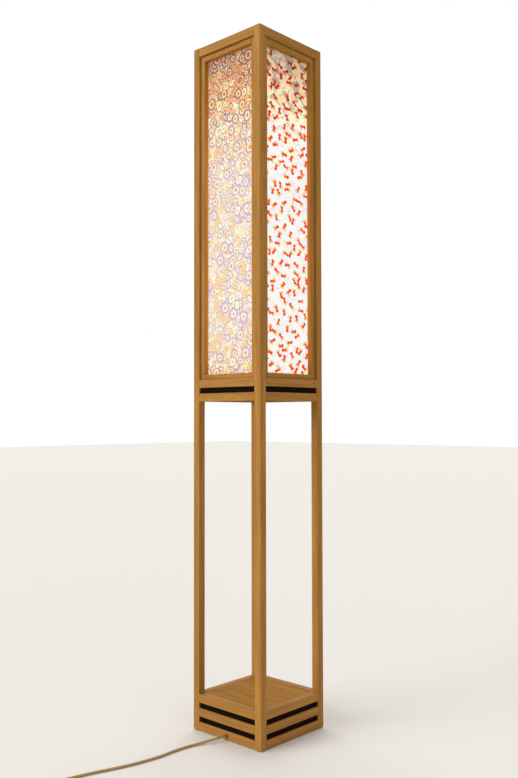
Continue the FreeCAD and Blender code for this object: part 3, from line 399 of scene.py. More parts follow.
def beech(
    name,
    run,
    seat,
    tone=1.0,
    other_run=None,
    other_share=None,
    spots=(),
    lit_share=None,
    shine=LACQUERED,
):
    """Planed beech under satin lacquer: soft growth bands, fine fibres and small ray flecks,
    all drawn out along the stick. In a piece with sticks two ways, the other run's grain
    shows where the share is 1."""
    settings = bpy.context.scene.lamp_timber
    material, add, place = new_material(name)
    grain = add("Mapping", {}, {"Vector": place, "Location": seat, "Scale": STRETCH[run]})
    if other_run:
        crossed = {"Vector": place, "Location": seat, "Scale": STRETCH[other_run]}
        crossing = add("Mapping", {}, crossed)
        share = other_share(add, place)
        grain = add("Mix", VECTOR, {0: share, 4: grain, 5: crossing})
    wide = {"Vector": grain, "Scale": 1 / settings.band_width, "Detail": 3.0, "Distortion": 0.6}
    bands = add("TexNoise", {}, wide)
    band_share = add("MapRange", {}, {"Value": bands, "From Min": 0.34, "From Max": 0.68})
    fine = {"Vector": grain, "Scale": 1 / settings.fibre_width, "Detail": 2.0, "Roughness": 0.6}
    fibres = add("TexNoise", {}, fine)
    streaks = {"Value": fibres, "From Min": 0.3, "From Max": 0.75, "To Max": 0.28}
    fibre_share = add("MapRange", {}, streaks)
    pale, warm, fleck = (scaled(c, tone) for c in (settings.pale, settings.warm, settings.fleck))
    banded = add("Mix", RGB, {0: band_share, 6: pale, 7: warm})
    wood = add("Mix", RGB, {0: fibre_share, 6: banded, 7: fleck})
    # Each spot darkens the wood towards its middle: the pin knot is the wood's own, and the spot round
    # the cord's hole is painted shade.
    for centre, radius in spots:
        away = add("VectorMath", {"operation": "DISTANCE"}, {0: place, 1: centre})
        dark = {"Value": away.outputs["Value"], "From Min": radius, "From Max": 0.0, "To Max": 1.0}
        spot = add("MapRange", {"interpolation_type": "SMOOTHSTEP"}, dark)
        wood = add("Mix", RGB, {0: spot, 6: wood, 7: settings.knot})
    gloss = add("MapRange", {}, {"Value": fibres, "To Min": 0.5, "To Max": 0.66})
    relief = add("Bump", {}, {"Strength": 0.12, "Distance": 0.0002, "Height": fibres})
    lacquer = {"Base Color": wood, "Roughness": gloss, "Normal": relief, "Specular IOR Level": shine}
    if lit_share:
        lit = lit_share(add, place)
        lacquer |= {"Emission Color": settings.lit_edge, "Emission Strength": lit}
    return surfaced(material, add, pale, lacquer)


def stained_with_painted_shade():
    """Open-pored wood, its stain near black and darker still as painted shade of the recess between the
    rails: a faint brown grain in a matt ground.
    """
    settings = bpy.context.scene.lamp_timber
    material, add, place = new_material("black_stain_with_painted_shade")
    pore_mm = 1.43
    long = add("Mapping", {}, {"Vector": place, "Scale": (0.1, 0.1, 1)})
    pores = add("TexNoise", {}, {"Vector": long, "Scale": 1000 / pore_mm, "Detail": 3.0})
    dark, light = scaled(settings.dark, 0.6), scaled(settings.dark, 1.6)
    shade = add("Mix", RGB, {0: pores, 6: dark, 7: light})
    relief = add("Bump", {}, {"Strength": 0.3, "Distance": 0.0003, "Height": pores})
    stain = {"Base Color": shade, "Roughness": 0.9, "Specular IOR Level": 0.05, "Normal": relief}
    return surfaced(material, add, settings.dark, stain)


def moulded(name, shade, roughness=0.45, grain_mm=0.6):
    """Injection-moulded plastic: an even colour with the faint pebble of the mould."""
    material, add, place = new_material(name)
    pebble = add("TexNoise", {}, {"Vector": place, "Scale": 1000 / grain_mm, "Detail": 1.0})
    low, high = roughness - 0.06, roughness + 0.06
    gloss = add("MapRange", {}, {"Value": pebble, "To Min": low, "To Max": high})
    relief = add("Bump", {}, {"Strength": 0.15, "Distance": 0.0001, "Height": pebble})
    plastic = {"Base Color": shade, "Roughness": gloss, "Normal": relief, "IOR": 1.5}
    return surfaced(material, add, shade, plastic)


def metal(name, shade, roughness=0.3, line_mm=0.625):
    """Turned or stamped metal: fine tool lines round the axis vary its gloss."""
    material, add, place = new_material(name)
    lines = add("Mapping", {}, {"Vector": place, "Scale": (0.05, 0.05, 1)})
    turning = add("TexNoise", {}, {"Vector": lines, "Scale": 1000 / line_mm, "Detail": 2.0})
    low, high = roughness - 0.08, roughness + 0.1
    gloss = add("MapRange", {}, {"Value": turning, "To Min": low, "To Max": high})
    relief = add("Bump", {}, {"Strength": 0.1, "Distance": 0.0001, "Height": turning})
    plate = {"Base Color": shade, "Metallic": 1.0, "Roughness": gloss, "Normal": relief}
    return surfaced(material, add, shade, plate)


def woven(name, shade, thread_mm=0.8):
    """Woven or felted fibre: its fuzz breaks the colour and gives a soft sheen."""
    material, add, place = new_material(name)
    fuzz = add("TexNoise", {}, {"Vector": place, "Scale": 1000 / thread_mm, "Detail": 3.0})
    mixed = add("Mix", RGB, {0: fuzz, 6: scaled(shade, 0.6), 7: scaled(shade, 1.35)})
    relief = add("Bump", {}, {"Strength": 0.6, "Distance": 0.0004, "Height": fuzz})
    cloth = {"Base Color": mixed, "Roughness": 0.95, "Sheen Weight": 0.3, "Normal": relief}
    return surfaced(material, add, shade, cloth)


def opal():
    """Opal glass, white through and through, lit by the lamp inside it."""
    material, add, place = new_material("opal_glass")
    cloud_mm = 8.33
    cloud = add("TexNoise", {}, {"Vector": place, "Scale": 1000 / cloud_mm, "Detail": 2.0})
    gloss = add("MapRange", {}, {"Value": cloud, "To Min": 0.18, "To Max": 0.26})
    white = linear("#F1E8D6")
    glass = {"Base Color": white, "Roughness": gloss, "IOR": 1.5, "Subsurface Weight": 0.3}
    glass |= {"Emission Color": linear("#FFE3B8"), "Emission Strength": 0.15}
    return surfaced(material, add, white, glass)


def painted(name, shade, stipple_mm=2.5):
    """Matt painted board with the faint stipple of a roller."""
    material, add, place = new_material(name)
    roller = add("TexNoise", {}, {"Vector": place, "Scale": 1000 / stipple_mm, "Detail": 2.0})
    relief = add("Bump", {}, {"Strength": 0.05, "Distance": 0.0002, "Height": roller})
    paint = {"Base Color": shade, "Roughness": 0.9, "Normal": relief}
    return surfaced(material, add, shade, paint)


def paper_plane(add, place, run):
    """The paper's own flat place, across and up, the same place a little shaken as if drawn
    by hand, and the height."""
    shake_mm, reach = 11.76, 0.005
    parts = add("SeparateXYZ", {}, {0: place})
    flat = add("CombineXYZ", {}, {"X": parts.outputs[run], "Y": parts.outputs["Z"]})
    shake = add("TexNoise", {}, {"Vector": flat, "Scale": 1000 / shake_mm, "Detail": 1.0})
    half = (0.5, 0.5, 0.5)
    centred = add("VectorMath", {"operation": "SUBTRACT"}, {0: shake.outputs["Color"], 1: half})
    wobble = add("VectorMath", {"operation": "SCALE"}, {0: centred, "Scale": reach})
    drawn = add("VectorMath", {"operation": "ADD"}, {0: flat, 1: wobble})
    return flat, drawn, parts.outputs["Z"]


def scattered(add, drawn, cell, seed, randomness, swing, broad=1.0):
    """A motif's own place in each of many scattered cells, broadened across, turned at random
    by up to the swing, and the random shares that the cell draws."""
    # The cells' rows are turned, so that no row of motifs lies level.
    about = {"rotation_type": "Z_AXIS"}
    lean = 0.45
    leant = add("VectorRotate", about, {"Vector": drawn, "Angle": lean})
    moved = add("VectorMath", {"operation": "ADD"}, {0: leant, 1: seed})
    spread = {"Vector": moved, "Scale": 1 / cell, "Randomness": randomness}
    cells = add("TexVoronoi", {"voronoi_dimensions": "2D"}, spread)
    away = add("VectorMath", {"operation": "SUBTRACT"}, {0: moved, 1: cells.outputs["Position"]})
    centre = add("VectorRotate", about, {"Vector": away, "Angle": -lean})
    draws = add("SeparateColor", {}, {"Color": cells.outputs["Color"]})
    turn = {"Value": draws.outputs[0], "To Min": -swing, "To Max": swing}
    angle = add("MapRange", {}, turn)
    slim = add("VectorMath", {"operation": "MULTIPLY"}, {0: centre, 1: (1 / broad, 1, 1)})
    own = add("VectorRotate", about, {"Vector": slim, "Angle": angle})
    return own, draws


def oval(add, own, centre, half_sizes, turn=0.0):
    """1 inside an oval in a motif's own place, else 0."""
    seat = {"Vector": own, "Location": (*centre, 0), "Rotation": (0, 0, turn)}
    seat["Scale"] = (*half_sizes, 1)
    moved = add("Mapping", {"vector_type": "TEXTURE"}, seat)
    away = add("VectorMath", {"operation": "LENGTH"}, {0: moved})
    return add("Math", {"operation": "LESS_THAN"}, {0: away.outputs["Value"], 1: 1.0})


def printed(add, ground, ink, shapes, weight=1.0):
    """Prints shapes in one ink over the ground."""
    cover = shapes[0]
    for shape in shapes[1:]:
        cover = add("Math", {"operation": "MAXIMUM"}, {0: cover, 1: shape})
    cover = add("Math", {"operation": "MULTIPLY"}, {0: cover, 1: weight})
    return add("Mix", RGB, {0: cover, 6: ground, 7: ink})


class RingLayer(NamedTuple):
    """A layer of printed ovals. Its cell is a share of the mean, its smallest and largest
    radius are shares of its cell, and narrowest is how often the slimmest goes into its length."""

    cell_share: float
    seed: tuple
    narrowest: float
    empty_share: float
    cool_share: float
    largest_share: float
    smallest_share: float = 0.32


# The layers in the order they are printed.
RING_LAYERS = (
    RingLayer(0.85, (3.1, 7.3, 0.0), 2.2, 0.05, 0.4, 0.56),
    RingLayer(0.7, (9.7, 2.2, 0.0), 2.0, 0.35, 0.4, 0.5),
    RingLayer(1.0, (5.4, 8.8, 0.0), 1.9, 0.15, 0.5, 0.45),
    RingLayer(1.2, (1.6, 4.9, 0.0), 1.4, 0.35, 0.62, 0.46),
)


def ring_paper(name, run):
    """Printed washi with overlapping loose ovals and rings, lit from behind."""
    inks = bpy.context.scene.lamp_paper
    material, add, place = new_material(name)
    _, drawn, height = paper_plane(add, place, run)
    cool = [(0, inks.orange), (0.24, inks.cream), (0.48, inks.ground), (0.63, inks.lavender)]
    cool += [(0.69, inks.mist), (0.92, inks.lavender)]
    warm = [(0, inks.mist), (0.24, inks.peach), (0.42, inks.orange), (0.54, inks.ground)]
    warm += [(0.72, inks.peach), (0.82, inks.orange)]
    plain = [(0, inks.orange), (0.13, inks.cream), (0.55, inks.ground), (0.86, inks.lavender)]
    # Swirls between the rings: thin bands at two levels of a slow noise.
    swirl_mm = 22.22
    slow = {"Vector": drawn, "Scale": 1000 / swirl_mm, "Detail": 1.0, "Distortion": 0.5}
    swirls = [(0, inks.ground), (0.38, inks.orange), (0.4, inks.cream), (0.5, inks.peach)]
    swirls += [(0.54, inks.cream), (0.58, inks.ground), (0.64, inks.orange), (0.67, inks.cream)]
    sheet = set_stops(add("ValToRGB", {}, {0: add("TexNoise", {}, slow)}), swirls, sharp=True)
    for layer in RING_LAYERS:
        cell = inks.ring_cell * layer.cell_share
        own, draws = scattered(add, drawn, cell, layer.seed, randomness=0.75, swing=1.2)
        first, second, third = (draws.outputs[i] for i in range(3))
        slim = add("MapRange", {}, {"Value": third, "To Min": 1.0, "To Max": layer.narrowest})
        squeeze = add("CombineXYZ", {}, {"X": slim, "Y": 1.0, "Z": 1.0})
        oblong = add("VectorMath", {"operation": "MULTIPLY"}, {0: own, 1: squeeze})
        away = add("VectorMath", {"operation": "LENGTH"}, {0: oblong}).outputs["Value"]
        sizes = {"To Min": cell * layer.smallest_share, "To Max": cell * layer.largest_share}
        reach = add("MapRange", {}, {"Value": second, **sizes})
        outward = add("Math", {"operation": "DIVIDE"}, {0: away, 1: reach})
        # A power of its own moves each ring's bands in or out.
        power = add("MapRange", {}, {"Value": first, "To Min": 0.7, "To Max": 1.5})
        band = add("Math", {"operation": "POWER"}, {0: outward, 1: power})
        ring = set_stops(add("ValToRGB", {}, {0: band}), cool, sharp=True)
        for least, stops in ((layer.cool_share, warm), ((1 + layer.cool_share) / 2, plain)):
            kind = add("Math", {"operation": "GREATER_THAN"}, {0: third, 1: least})
            other = set_stops(add("ValToRGB", {}, {0: band}), stops, sharp=True)
            ring = add("Mix", RGB, {0: kind, 6: ring, 7: other})
        inside = add("Math", {"operation": "LESS_THAN"}, {0: outward, 1: 1.0})
        filled = add("Math", {"operation": "GREATER_THAN"}, {0: first, 1: layer.empty_share})
        cover = add("Math", {"operation": "MULTIPLY"}, {0: inside, 1: filled})
        sheet = add("Mix", RGB, {0: cover, 6: sheet, 7: ring})
    return lit_paper(material, add, place, height, sheet, inks.ring_glow)


def fish_paper(name, run):
    """Printed washi with small red fishes over pale streaks of water, lit from behind."""
    inks = bpy.context.scene.lamp_paper
    material, add, place = new_material(name)
    flat, drawn, height = paper_plane(add, place, run)
    slant = {"Vector": flat, "Rotation": (0, 0, -0.6), "Scale": (2.2, 1, 1)}
    ripple = add("Mapping", {"vector_type": "TEXTURE"}, slant)
    flow_mm = 18.18
    flow = {"Vector": ripple, "Scale": 1000 / flow_mm, "Detail": 1.0, "Distortion": 0.8}
    water = add("TexNoise", {}, flow)
    streaks = [(0.46, inks.water), (0.52, inks.ground), (0.55, inks.ground), (0.72, inks.cream)]
    sheet = set_stops(add("ValToRGB", {}, {0: water}), streaks)
    # The motifs are printed a little broad. Each oval is its centre and its half sizes in
    # metres in the motif's own place, and then its turn in radians.
    broad, dash_cell_share = 1.2, 0.9
    spread = {"seed": (6.3, 2.9, 0), "randomness": 0.7, "swing": 0.6, "broad": broad}
    own, _ = scattered(add, drawn, inks.fish_cell * dash_cell_share, **spread)
    dashes = [
        oval(add, own, (-0.0024, -0.001), (0.0011, 0.0030), -0.3),
        oval(add, own, (0.0024, 0.001), (0.0011, 0.0030), -0.3),
    ]
    sheet = printed(add, sheet, inks.slate, dashes, weight=0.8)

    spread = {"seed": (2.7, 5.1, 0), "randomness": 0.58, "swing": math.pi, "broad": broad}
    own, draws = scattered(add, drawn, inks.fish_cell, **spread)
    swims = add("Math", {"operation": "GREATER_THAN"}, {0: draws.outputs[1], 1: 0.5})
    sign = add("MapRange", {}, {"Value": swims, "To Min": -1.0, "To Max": 1.0})
    flip = add("CombineXYZ", {}, {"X": sign, "Y": 1.0, "Z": 1.0})
    own = add("VectorMath", {"operation": "MULTIPLY"}, {0: own, 1: flip})
    fins = [
        oval(add, own, (0.0048, -0.0042), (0.0021, 0.0037), 0.9),
        oval(add, own, (-0.0024, -0.0052), (0.0021, 0.0039), -0.6),
        oval(add, own, (0.0019, -0.0064), (0.0018, 0.0034), 0.1),
        oval(add, own, (0.0002, 0.0022), (0.0025, 0.0032)),
    ]
    body = [
        oval(add, own, (-0.0012, 0.0058), (0.0045, 0.0040)),
        oval(add, own, (0.0012, -0.0010), (0.0037, 0.0034)),
    ]
    sheet = printed(add, sheet, inks.orange, fins)
    sheet = printed(add, sheet, inks.red, body)
    return lit_paper(material, add, place, height, sheet, inks.fish_glow)


# The light through a sheet, from its foot to its top.
LIGHT_STOPS = (
    (0.0, "#C8BCAA"),
    (0.06, "#F4EADA"),
    (0.12, "#FFFAEE"),
    (0.62, "#FFFAEE"),
    (0.84, "#B0A08E"),
    (1.0, "#766A60"),
)


def lit_paper(material, add, place, height, sheet, glow):
    """The sheet's fibres, and the bulb's light through the print: strong by the bulb, where it
    pales the inks, and weak and warm at the top."""
    settings = bpy.context.scene.lamp_paper
    low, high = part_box("front_lantern_paper")
    rise = add("MapRange", {}, {"Value": height, "From Min": low.z, "From Max": high.z})
    stops = [(share, linear(shade)) for share, shade in LIGHT_STOPS]
    light = set_stops(add("ValToRGB", {}, {0: rise}), stops)
    through = add("VectorMath", {"operation": "MULTIPLY"}, {0: sheet, 1: light})
    strong = add("VectorMath", {"operation": "SCALE"}, {0: through, "Scale": settings.gain})
    lit = add("VectorMath", {"operation": "MINIMUM"}, {0: strong, 1: (1, 1, 1)})
    unlit = add("VectorMath", {"operation": "SCALE"}, {0: sheet, "Scale": settings.reflection})
    fibre_mm = 1.11
    fibre = add("TexNoise", {}, {"Vector": place, "Scale": 1000 / fibre_mm, "Detail": 3.0})
    relief = add("Bump", {}, {"Strength": 0.25, "Distance": 0.0002, "Height": fibre})
    washi = {"Base Color": unlit, "Roughness": 0.9, "Specular IOR Level": 0.0, "Normal": relief}
    washi |= {"Emission Color": lit, "Emission Strength": glow}
    return surfaced(material, add, settings.ground, washi)


def repaint(node, material):
    """Gives a CAD node its material."""
    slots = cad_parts[node].data.materials
    slots.clear()
    slots.append(material)


# Pieces


class LAMP_OT_stage(bpy.types.Operator):
    """Sets the floor, the backdrop, the soft light and the camera"""

    bl_idname = "floor_lamp.stage"
    bl_label = "Stage"

    def execute(self, context):
        scene = context.scene
        self.set_camera(scene)
        floor_half = 20
        bm = bmesh.new()
        bmesh.ops.create_grid(bm, x_segments=1, y_segments=1, size=floor_half)
        finished("floor", bm, painted("pale_painted_floor", linear("#EDEBE7")))
        self.hang_backdrop(scene)
        self.set_suns(scene)
        scene.view_settings.view_transform = "Standard"
        return {"FINISHED"}

    def set_camera(self, scene):
        """The camera that took the photograph."""
        camera_data = bpy.data.cameras.new("camera")
        camera_data.sensor_width = 36
        camera_data.lens = CAMERA_LENS
        camera_data.clip_start = 0.05
        camera = bpy.data.objects.new("camera", camera_data)
        scene.collection.objects.link(camera)
        camera.location = CAMERA_PLACE
        yaw, pitch, roll = (math.radians(turn) for turn in CAMERA_TURNS)
        upright = Matrix.Rotation(yaw, 3, "Z") @ Matrix.Rotation(math.pi / 2 + pitch, 3, "X")
        camera.rotation_euler = (upright @ Matrix.Rotation(roll, 3, "Z")).to_euler()
        scene.camera = camera

    def set_suns(self, scene):
        """Three wide soft lights."""
        # Name, the way to the light, its softness in degrees and its strength.
        suns = (
            ("key", (-0.35, -1.0, 0.45), 40, 1.8),
            ("fill", (1.0, -0.3, 0.45), 50, 0.35),
            ("back", (-0.5, 0.6, 1.2), 50, 1.0),
        )
        for name, way, softness, strength in suns:
            data = bpy.data.lights.new(name, "SUN")
            data.angle = math.radians(softness)
            data.energy = strength
            sun = bpy.data.objects.new(name, data)
            sun.rotation_euler = Vector(way).to_track_quat("Z", "Y").to_euler()
            scene.collection.objects.link(sun)

    def hang_backdrop(self, scene):
        """White where the camera or a reflection sees it, and a softer light for the rest."""
        world = bpy.data.worlds.new("studio")
        scene.world = world
        world.use_nodes = True
        world.node_tree.nodes.clear()
        add = partial(add_node, world.node_tree)
        path = add("LightPath", {}, {}).outputs
        straight, mirrored = path["Is Camera Ray"], path["Is Glossy Ray"]
        seen = add("Math", {"operation": "MAXIMUM"}, {0: straight, 1: mirrored})
        clear = add("Math", {"operation": "MAXIMUM"}, {0: seen, 1: path["Is Transmission Ray"]})
        white = add("Background", {}, {"Color": (1, 1, 1, 1), "Strength": 1.0})
        soft = add("Background", {}, {"Color": linear("#FFF9F2"), "Strength": 0.46})
        add("OutputWorld", {}, {"Surface": add("MixShader", {}, {0: clear, 1: soft, 2: white})})


class LAMP_OT_floor_cord(bpy.types.Operator):
    """Lays the cord over the floor from the front rail to the foot switch"""

    bl_idname = "floor_lamp.floor_cord"
    bl_label = "Floor cord"

    def execute(self, context):
        settings = context.scene.lamp_cord
        sheath = moulded("pvc_cord_sheath", settings.sheath, roughness=0.38, grain_mm=1.5)
        cord = spline_tube("floor_cord", CORD_ROUTE, settings.diameter, sheath)
        settle(cord, "gold_cord", "cord_run")
        return {"FINISHED"}


def coil_points(settings):
    """Points of the coil from the switch to the plug: down to the floor, in along the floor
    layer, up where the spiral turns back, out along the layer above, and on to the plug."""
    run_in, straight, drop = 0.036, 0.020, 0.0012
    run_out, onward, dip, plug_height = 0.036, 0.015, 0.0018, 0.007
    clearance, climbing_quarters = 0.0013, 2
    low = settings.diameter / 2 + clearance
    pitch = settings.coil_pitch
    outer = settings.coil_outer
    switch_low, switch_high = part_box("foot_switch_housing")
    start = Vector((switch_high.x, (switch_low.y + switch_high.y) / 2, SWITCH_INLET))
    middle = Vector((start.x + run_in, start.y + outer, 0))
    quarters_out = round(4 * settings.coil_turns)
    quarters_in = quarters_out - 1
    innermost = quarters_in + 1
    steps = settings.points_per_turn // 4
    first_straight = Vector((settings.diameter, 0, 0))
    last_straight = Vector((0, settings.diameter, 0))
    points = [start, start + first_straight, start + Vector((straight, 0, -drop))]
    for i in range((quarters_in + climbing_quarters + quarters_out) * steps + 1):
        quarter = i / steps
        radius = outer - pitch * (innermost - abs(quarter - innermost)) / 4
        lift = min(max((quarter - quarters_in) / climbing_quarters, 0), 1) * pitch
        angle = math.pi / 2 * (quarter - 1)
        points.append(middle + Vector((radius * math.cos(angle), radius * math.sin(angle), low + lift)))
    end = points[-1]
    tail = Vector((0, run_out, plug_height - end.z))
    points += [end + Vector((0, onward, -dip)), end + tail - last_straight, end + tail]
    return [tuple(p) for p in points]


class LAMP_OT_coiled_cord(bpy.types.Operator):
    """Winds the unseen length of the cord into a coil with its strap"""

    bl_idname = "floor_lamp.coiled_cord"
    bl_label = "Coiled cord and strap"

    def execute(self, context):
        settings = context.scene.lamp_cord
        sheath = bpy.data.materials["pvc_cord_sheath"]
        coil = spline_tube("coiled_cord", coil_points(settings), settings.diameter, sheath)
        settle(coil, "gold_cord", "cord_coil")
        strap = woven("hook_and_loop_nylon", linear("#2B2926"))
        low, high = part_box("coil_tie")
        middle, half = (low + high) / 2, (high - low) / 2
        thick, squareness = 0.001, 5
        spots = ((-half.y, 0), (half.y, 0), (half.y, thick), (-half.y, thick))
        rings = [(along, half.x - inset, half.z - inset, squareness) for along, inset in spots]
        bm = bmesh.new()
        # The rings are stacked along Z, and the strap lies along Y.
        for v in stacked(bm, rings, 48, close=True):
            v.co = Vector((v.co.x, v.co.z, v.co.y)) + middle
        settle(finished("coil_strap", bm, strap), "hook_and_loop", "coil_tie")
        return {"FINISHED"}


class LAMP_OT_foot_switch(bpy.types.Operator):
    """Moulds the foot switch, its strain reliefs and its push button"""

    bl_idname = "floor_lamp.foot_switch"
    bl_label = "Foot switch"

    def execute(self, context):
        settings = context.scene.lamp_cord
        low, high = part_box("foot_switch_housing")
        middle, half_y = (low + high) / 2, (high.y - low.y) / 2
        half_x = 0.034
        bm = bmesh.new()
        put(bm, self.mould_shell(bm, half_x, half_y, high.z), (middle.x, middle.y, 0))
        for sign in (-1, 1):
            place = (middle.x + sign * half_x, middle.y, SWITCH_INLET)
            put(bm, self.mould_relief(bm), place, (sign, 0, 0))
        shell = moulded("moulded_abs", settings.moulded, 0.4)
        settle(finished("foot_switch_shell", bm, shell), "brown_plastic", "foot_switch_housing")
        self.mould_button(settings)
        return {"FINISHED"}

    def mould_shell(self, bm, half_x, half_y, top):
        """A flat housing with a seam, a soft crown and the button's well."""
        seam, well, lip = 0.0095, 0.0123, 0.0001
        # Each ring's height, how far it is set in across X and Y, and its power.
        sides = (
            (0.0005, 0.0020, 0.0020, 4),
            (0.0012, 0.0008, 0.0008, 4.4),
            (0.0025, 0, 0, 4.6),
            (seam - 0.0004, 0, 0, 4.6),
            (seam - 0.0003, 0.0005, 0.0005, 4.6),
            (seam + 0.0003, 0.0005, 0.0005, 4.6),
            (seam + 0.0004, 0, 0, 4.6),
            (top - 0.0042, 0.0003, 0.0003, 4.6),
            (top - 0.0018, 0.0012, 0.0012, 4.4),
            (top - 0.0006, 0.0028, 0.0028, 4.1),
            (top - lip, 0.0048, 0.0042, 3.6),
        )
        rings = [(z, half_x - in_x, half_y - in_y, power) for z, in_x, in_y, power in sides]
        # How deep each ring of the well is, and how far its rim stands out.
        depths = ((lip, 0.0022), (0.0010, 0.0016), (0.0010, 0), (0.0128, 0))
        rings += [(top - deep, well + rim, well + rim, 2) for deep, rim in depths]
        return stacked(bm, rings, 64)

    def mould_relief(self, bm):
        """A ribbed strain relief, thick where it leaves the housing."""
        long, ribs, bore, tip, root, taper = 0.022, 5, 0.0031, 0.0040, 0.0056, 0.0014
        rib, slope, gap, groove, bevel, sunk = 0.0019, 0.0003, 0.0011, 0.0008, 0.0004, 0.001
        outline = [(bore, long - bevel), (tip, long - bevel)]
        for i in range(ribs, 0, -1):
            along = long * i / (ribs + 0.6)
            radius = root - taper * along / long
            inner, far = radius - groove, along - rib - slope
            outline += [(radius, along), (radius, along - rib), (inner, far), (inner, far - gap)]
        outline += [(root, 2 * bevel), (root + bevel, -sunk), (bore, -sunk)]
        return spin_outline(bm, outline, 32, closed=True)

    def mould_button(self, settings):
        """A round button with a soft edge and a shallow dish."""
        low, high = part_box("foot_switch_button")
        radius, edge, brim = 0.0119, 0.0016, 0.0022
        # How far each ring of the dish is from the middle, and how far below the top.
        dish = ((0.0085, 0.0009), (0.0075, 0.0014), (0.0040, 0.0017), (0, 0.0018))
        outline = [(0, low.z), (radius, low.z), (radius, high.z - brim)]
        outline += arc_points((radius - edge, high.z - brim), edge, 0, 90, 5)
        outline += [(reach, high.z - deep) for reach, deep in dish]
        bm = bmesh.new()
        verts = spin_outline(bm, outline, 56)
        put(bm, verts, ((low.x + high.x) / 2, (low.y + high.y) / 2, 0))
        gold = moulded("moulded_gold_abs", settings.sheath, 0.3)
        button = finished("foot_switch_push_button", bm, gold)
        settle(button, "switch_button", "foot_switch_button", body=SWITCH_BUTTON)


class LAMP_OT_plug(bpy.types.Operator):
    """Moulds the flat two-pin plug"""

    bl_idname = "floor_lamp.plug"
    bl_label = "Plug"

    def execute(self, context):
        low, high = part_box("plug_body")
        foot = Vector(((low.x + high.x) / 2, low.y, (low.z + high.z) / 2))
        self.mould_body(context.scene.lamp_cord, foot, high.y - low.y)
        self.press_pins(foot, high.y)
        return {"FINISHED"}

    def mould_body(self, settings, foot, long):
        """A ribbed strain relief that widens into the flat body."""
        relief, ribs, bore, tip, flare = 0.022, 5, 0.0033, 0.0040, 0.0016
        hair, groove = 0.0002, 0.0007
        rings = [(hair, bore, bore, 2), (hair, tip, tip, 2)]
        for i in range(1, ribs + 1):
            along = relief * i / (ribs + 0.4)
            radius = tip + flare * along / relief
            inner = radius - groove
            ridge = ((0.0026, radius), (0.0024, inner), (0.0014, inner), (0.0012, radius))
            rings += [(along - back, reach, reach, 2) for back, reach in ridge]
        # The share of the body's length, the half width, the half thickness and the power.
        body = (
            (0.02, 0.0064, 0.0058, 2.2),
            (0.12, 0.0095, 0.0063, 2.6),
            (0.30, 0.0132, 0.0068, 3.0),
            (0.48, 0.0158, 0.0069, 3.4),
            (0.60, 0.0163, 0.0069, 3.6),
            (0.78, 0.0150, 0.0069, 3.8),
            (0.94, 0.0136, 0.0068, 4.0),
            (0.98, 0.0131, 0.0064, 4.0),
            (1.00, 0.0122, 0.0056, 4.0),
        )
        rings += [(relief + (long - relief) * share, *rest) for share, *rest in body]
        bm = bmesh.new()
        verts = stacked(bm, rings, 48)
        bmesh.ops.rotate(bm, verts=verts, cent=(0, 0, 0), matrix=Matrix.Rotation(-math.pi / 2, 3, "X"))
        put(bm, verts, foot)
        shell = moulded("moulded_pvc_plug", settings.moulded, 0.42)
        settle(finished("plug_moulding", bm, shell), "brown_plastic", "plug_body")

    def press_pins(self, foot, face):
        """Two round pins with round tips, from the plug's face on."""
        low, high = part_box("plug_pins")
        long, radius, half_spacing, sunk = high.y - face, 0.002, 0.0093, 0.0004
        hair, bevel = 0.0001, 0.0005
        bm = bmesh.new()
        for sign in (-1, 1):
            outline = [(0, 0), (radius - hair, 0), (radius, bevel), (radius, long - radius - 2 * hair)]
            outline += arc_points((0, long - radius), radius, 0, 90, 6)
            outline[-1] = (0, long)
            place = ((low.x + high.x) / 2 + sign * half_spacing, face - sunk, foot.z)
            put(bm, spin_outline(bm, outline, 32), place, (0, 1, 0))
        nickel = metal("nickel_plated_brass", linear("#C9C3B6"), 0.25)
        settle(finished("plug_round_pins", bm, nickel), "nickel", "plug_pins")


class LAMP_OT_cord_facts(bpy.types.Operator):
    """Works out the coil's points, and keeps none of them"""

    bl_idname = "floor_lamp.cord_facts"
    bl_label = "Cord lengths"

    def execute(self, context):
        settings = context.scene.lamp_cord
        coil_points(settings)[0]
        return {"FINISHED"}


# Small dark spots, each its place and its radius: the pin knot on the right face, and painted
# shade in and round the hole that the cord comes out of.
DARK_SPOTS = {
    "right_band_upper_rail": ((0.115, 0.083, 0.862), 0.0045),
    "front_base_bottom_rail": ((0.0025, -0.115, 0.0115), 0.0085),
}


def grain_seat(index):
    """A place of its own in the grain for each stick."""
    span, steps = 3, (0.731, 1.173, 0.417)
    return tuple(index * step % span for step in steps)


def own_tone(index):
    """A shade of its own for each stick, a little darker or lighter."""
    darkest, spread, step = 0.94, 0.12, 0.618
    return darkest + spread * (index * step % 1)


# The width of the sticks that a panel frame is made of.
PANEL_STOCK = 0.013


def in_panel_rails(run, add, place):
    """1 in a panel frame's top and bottom rails, else 0."""
    low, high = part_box("front_panel_frame")
    parts = add("SeparateXYZ", {}, {0: place})
    middle = (low.z + high.z) / 2
    up = add("Math", {"operation": "SUBTRACT"}, {0: parts.outputs["Z"], 1: middle})
    level = add("Math", {"operation": "ABSOLUTE"}, {0: up})
    end = add("Math", {"operation": "GREATER_THAN"}, {0: level, 1: high.z - middle - PANEL_STOCK})
    aside = add("Math", {"operation": "ABSOLUTE"}, {0: parts.outputs[run]})
    between = add("Math", {"operation": "LESS_THAN"}, {0: aside, 1: high.x - PANEL_STOCK})
    return add("Math", {"operation": "MULTIPLY"}, {0: end, 1: between})


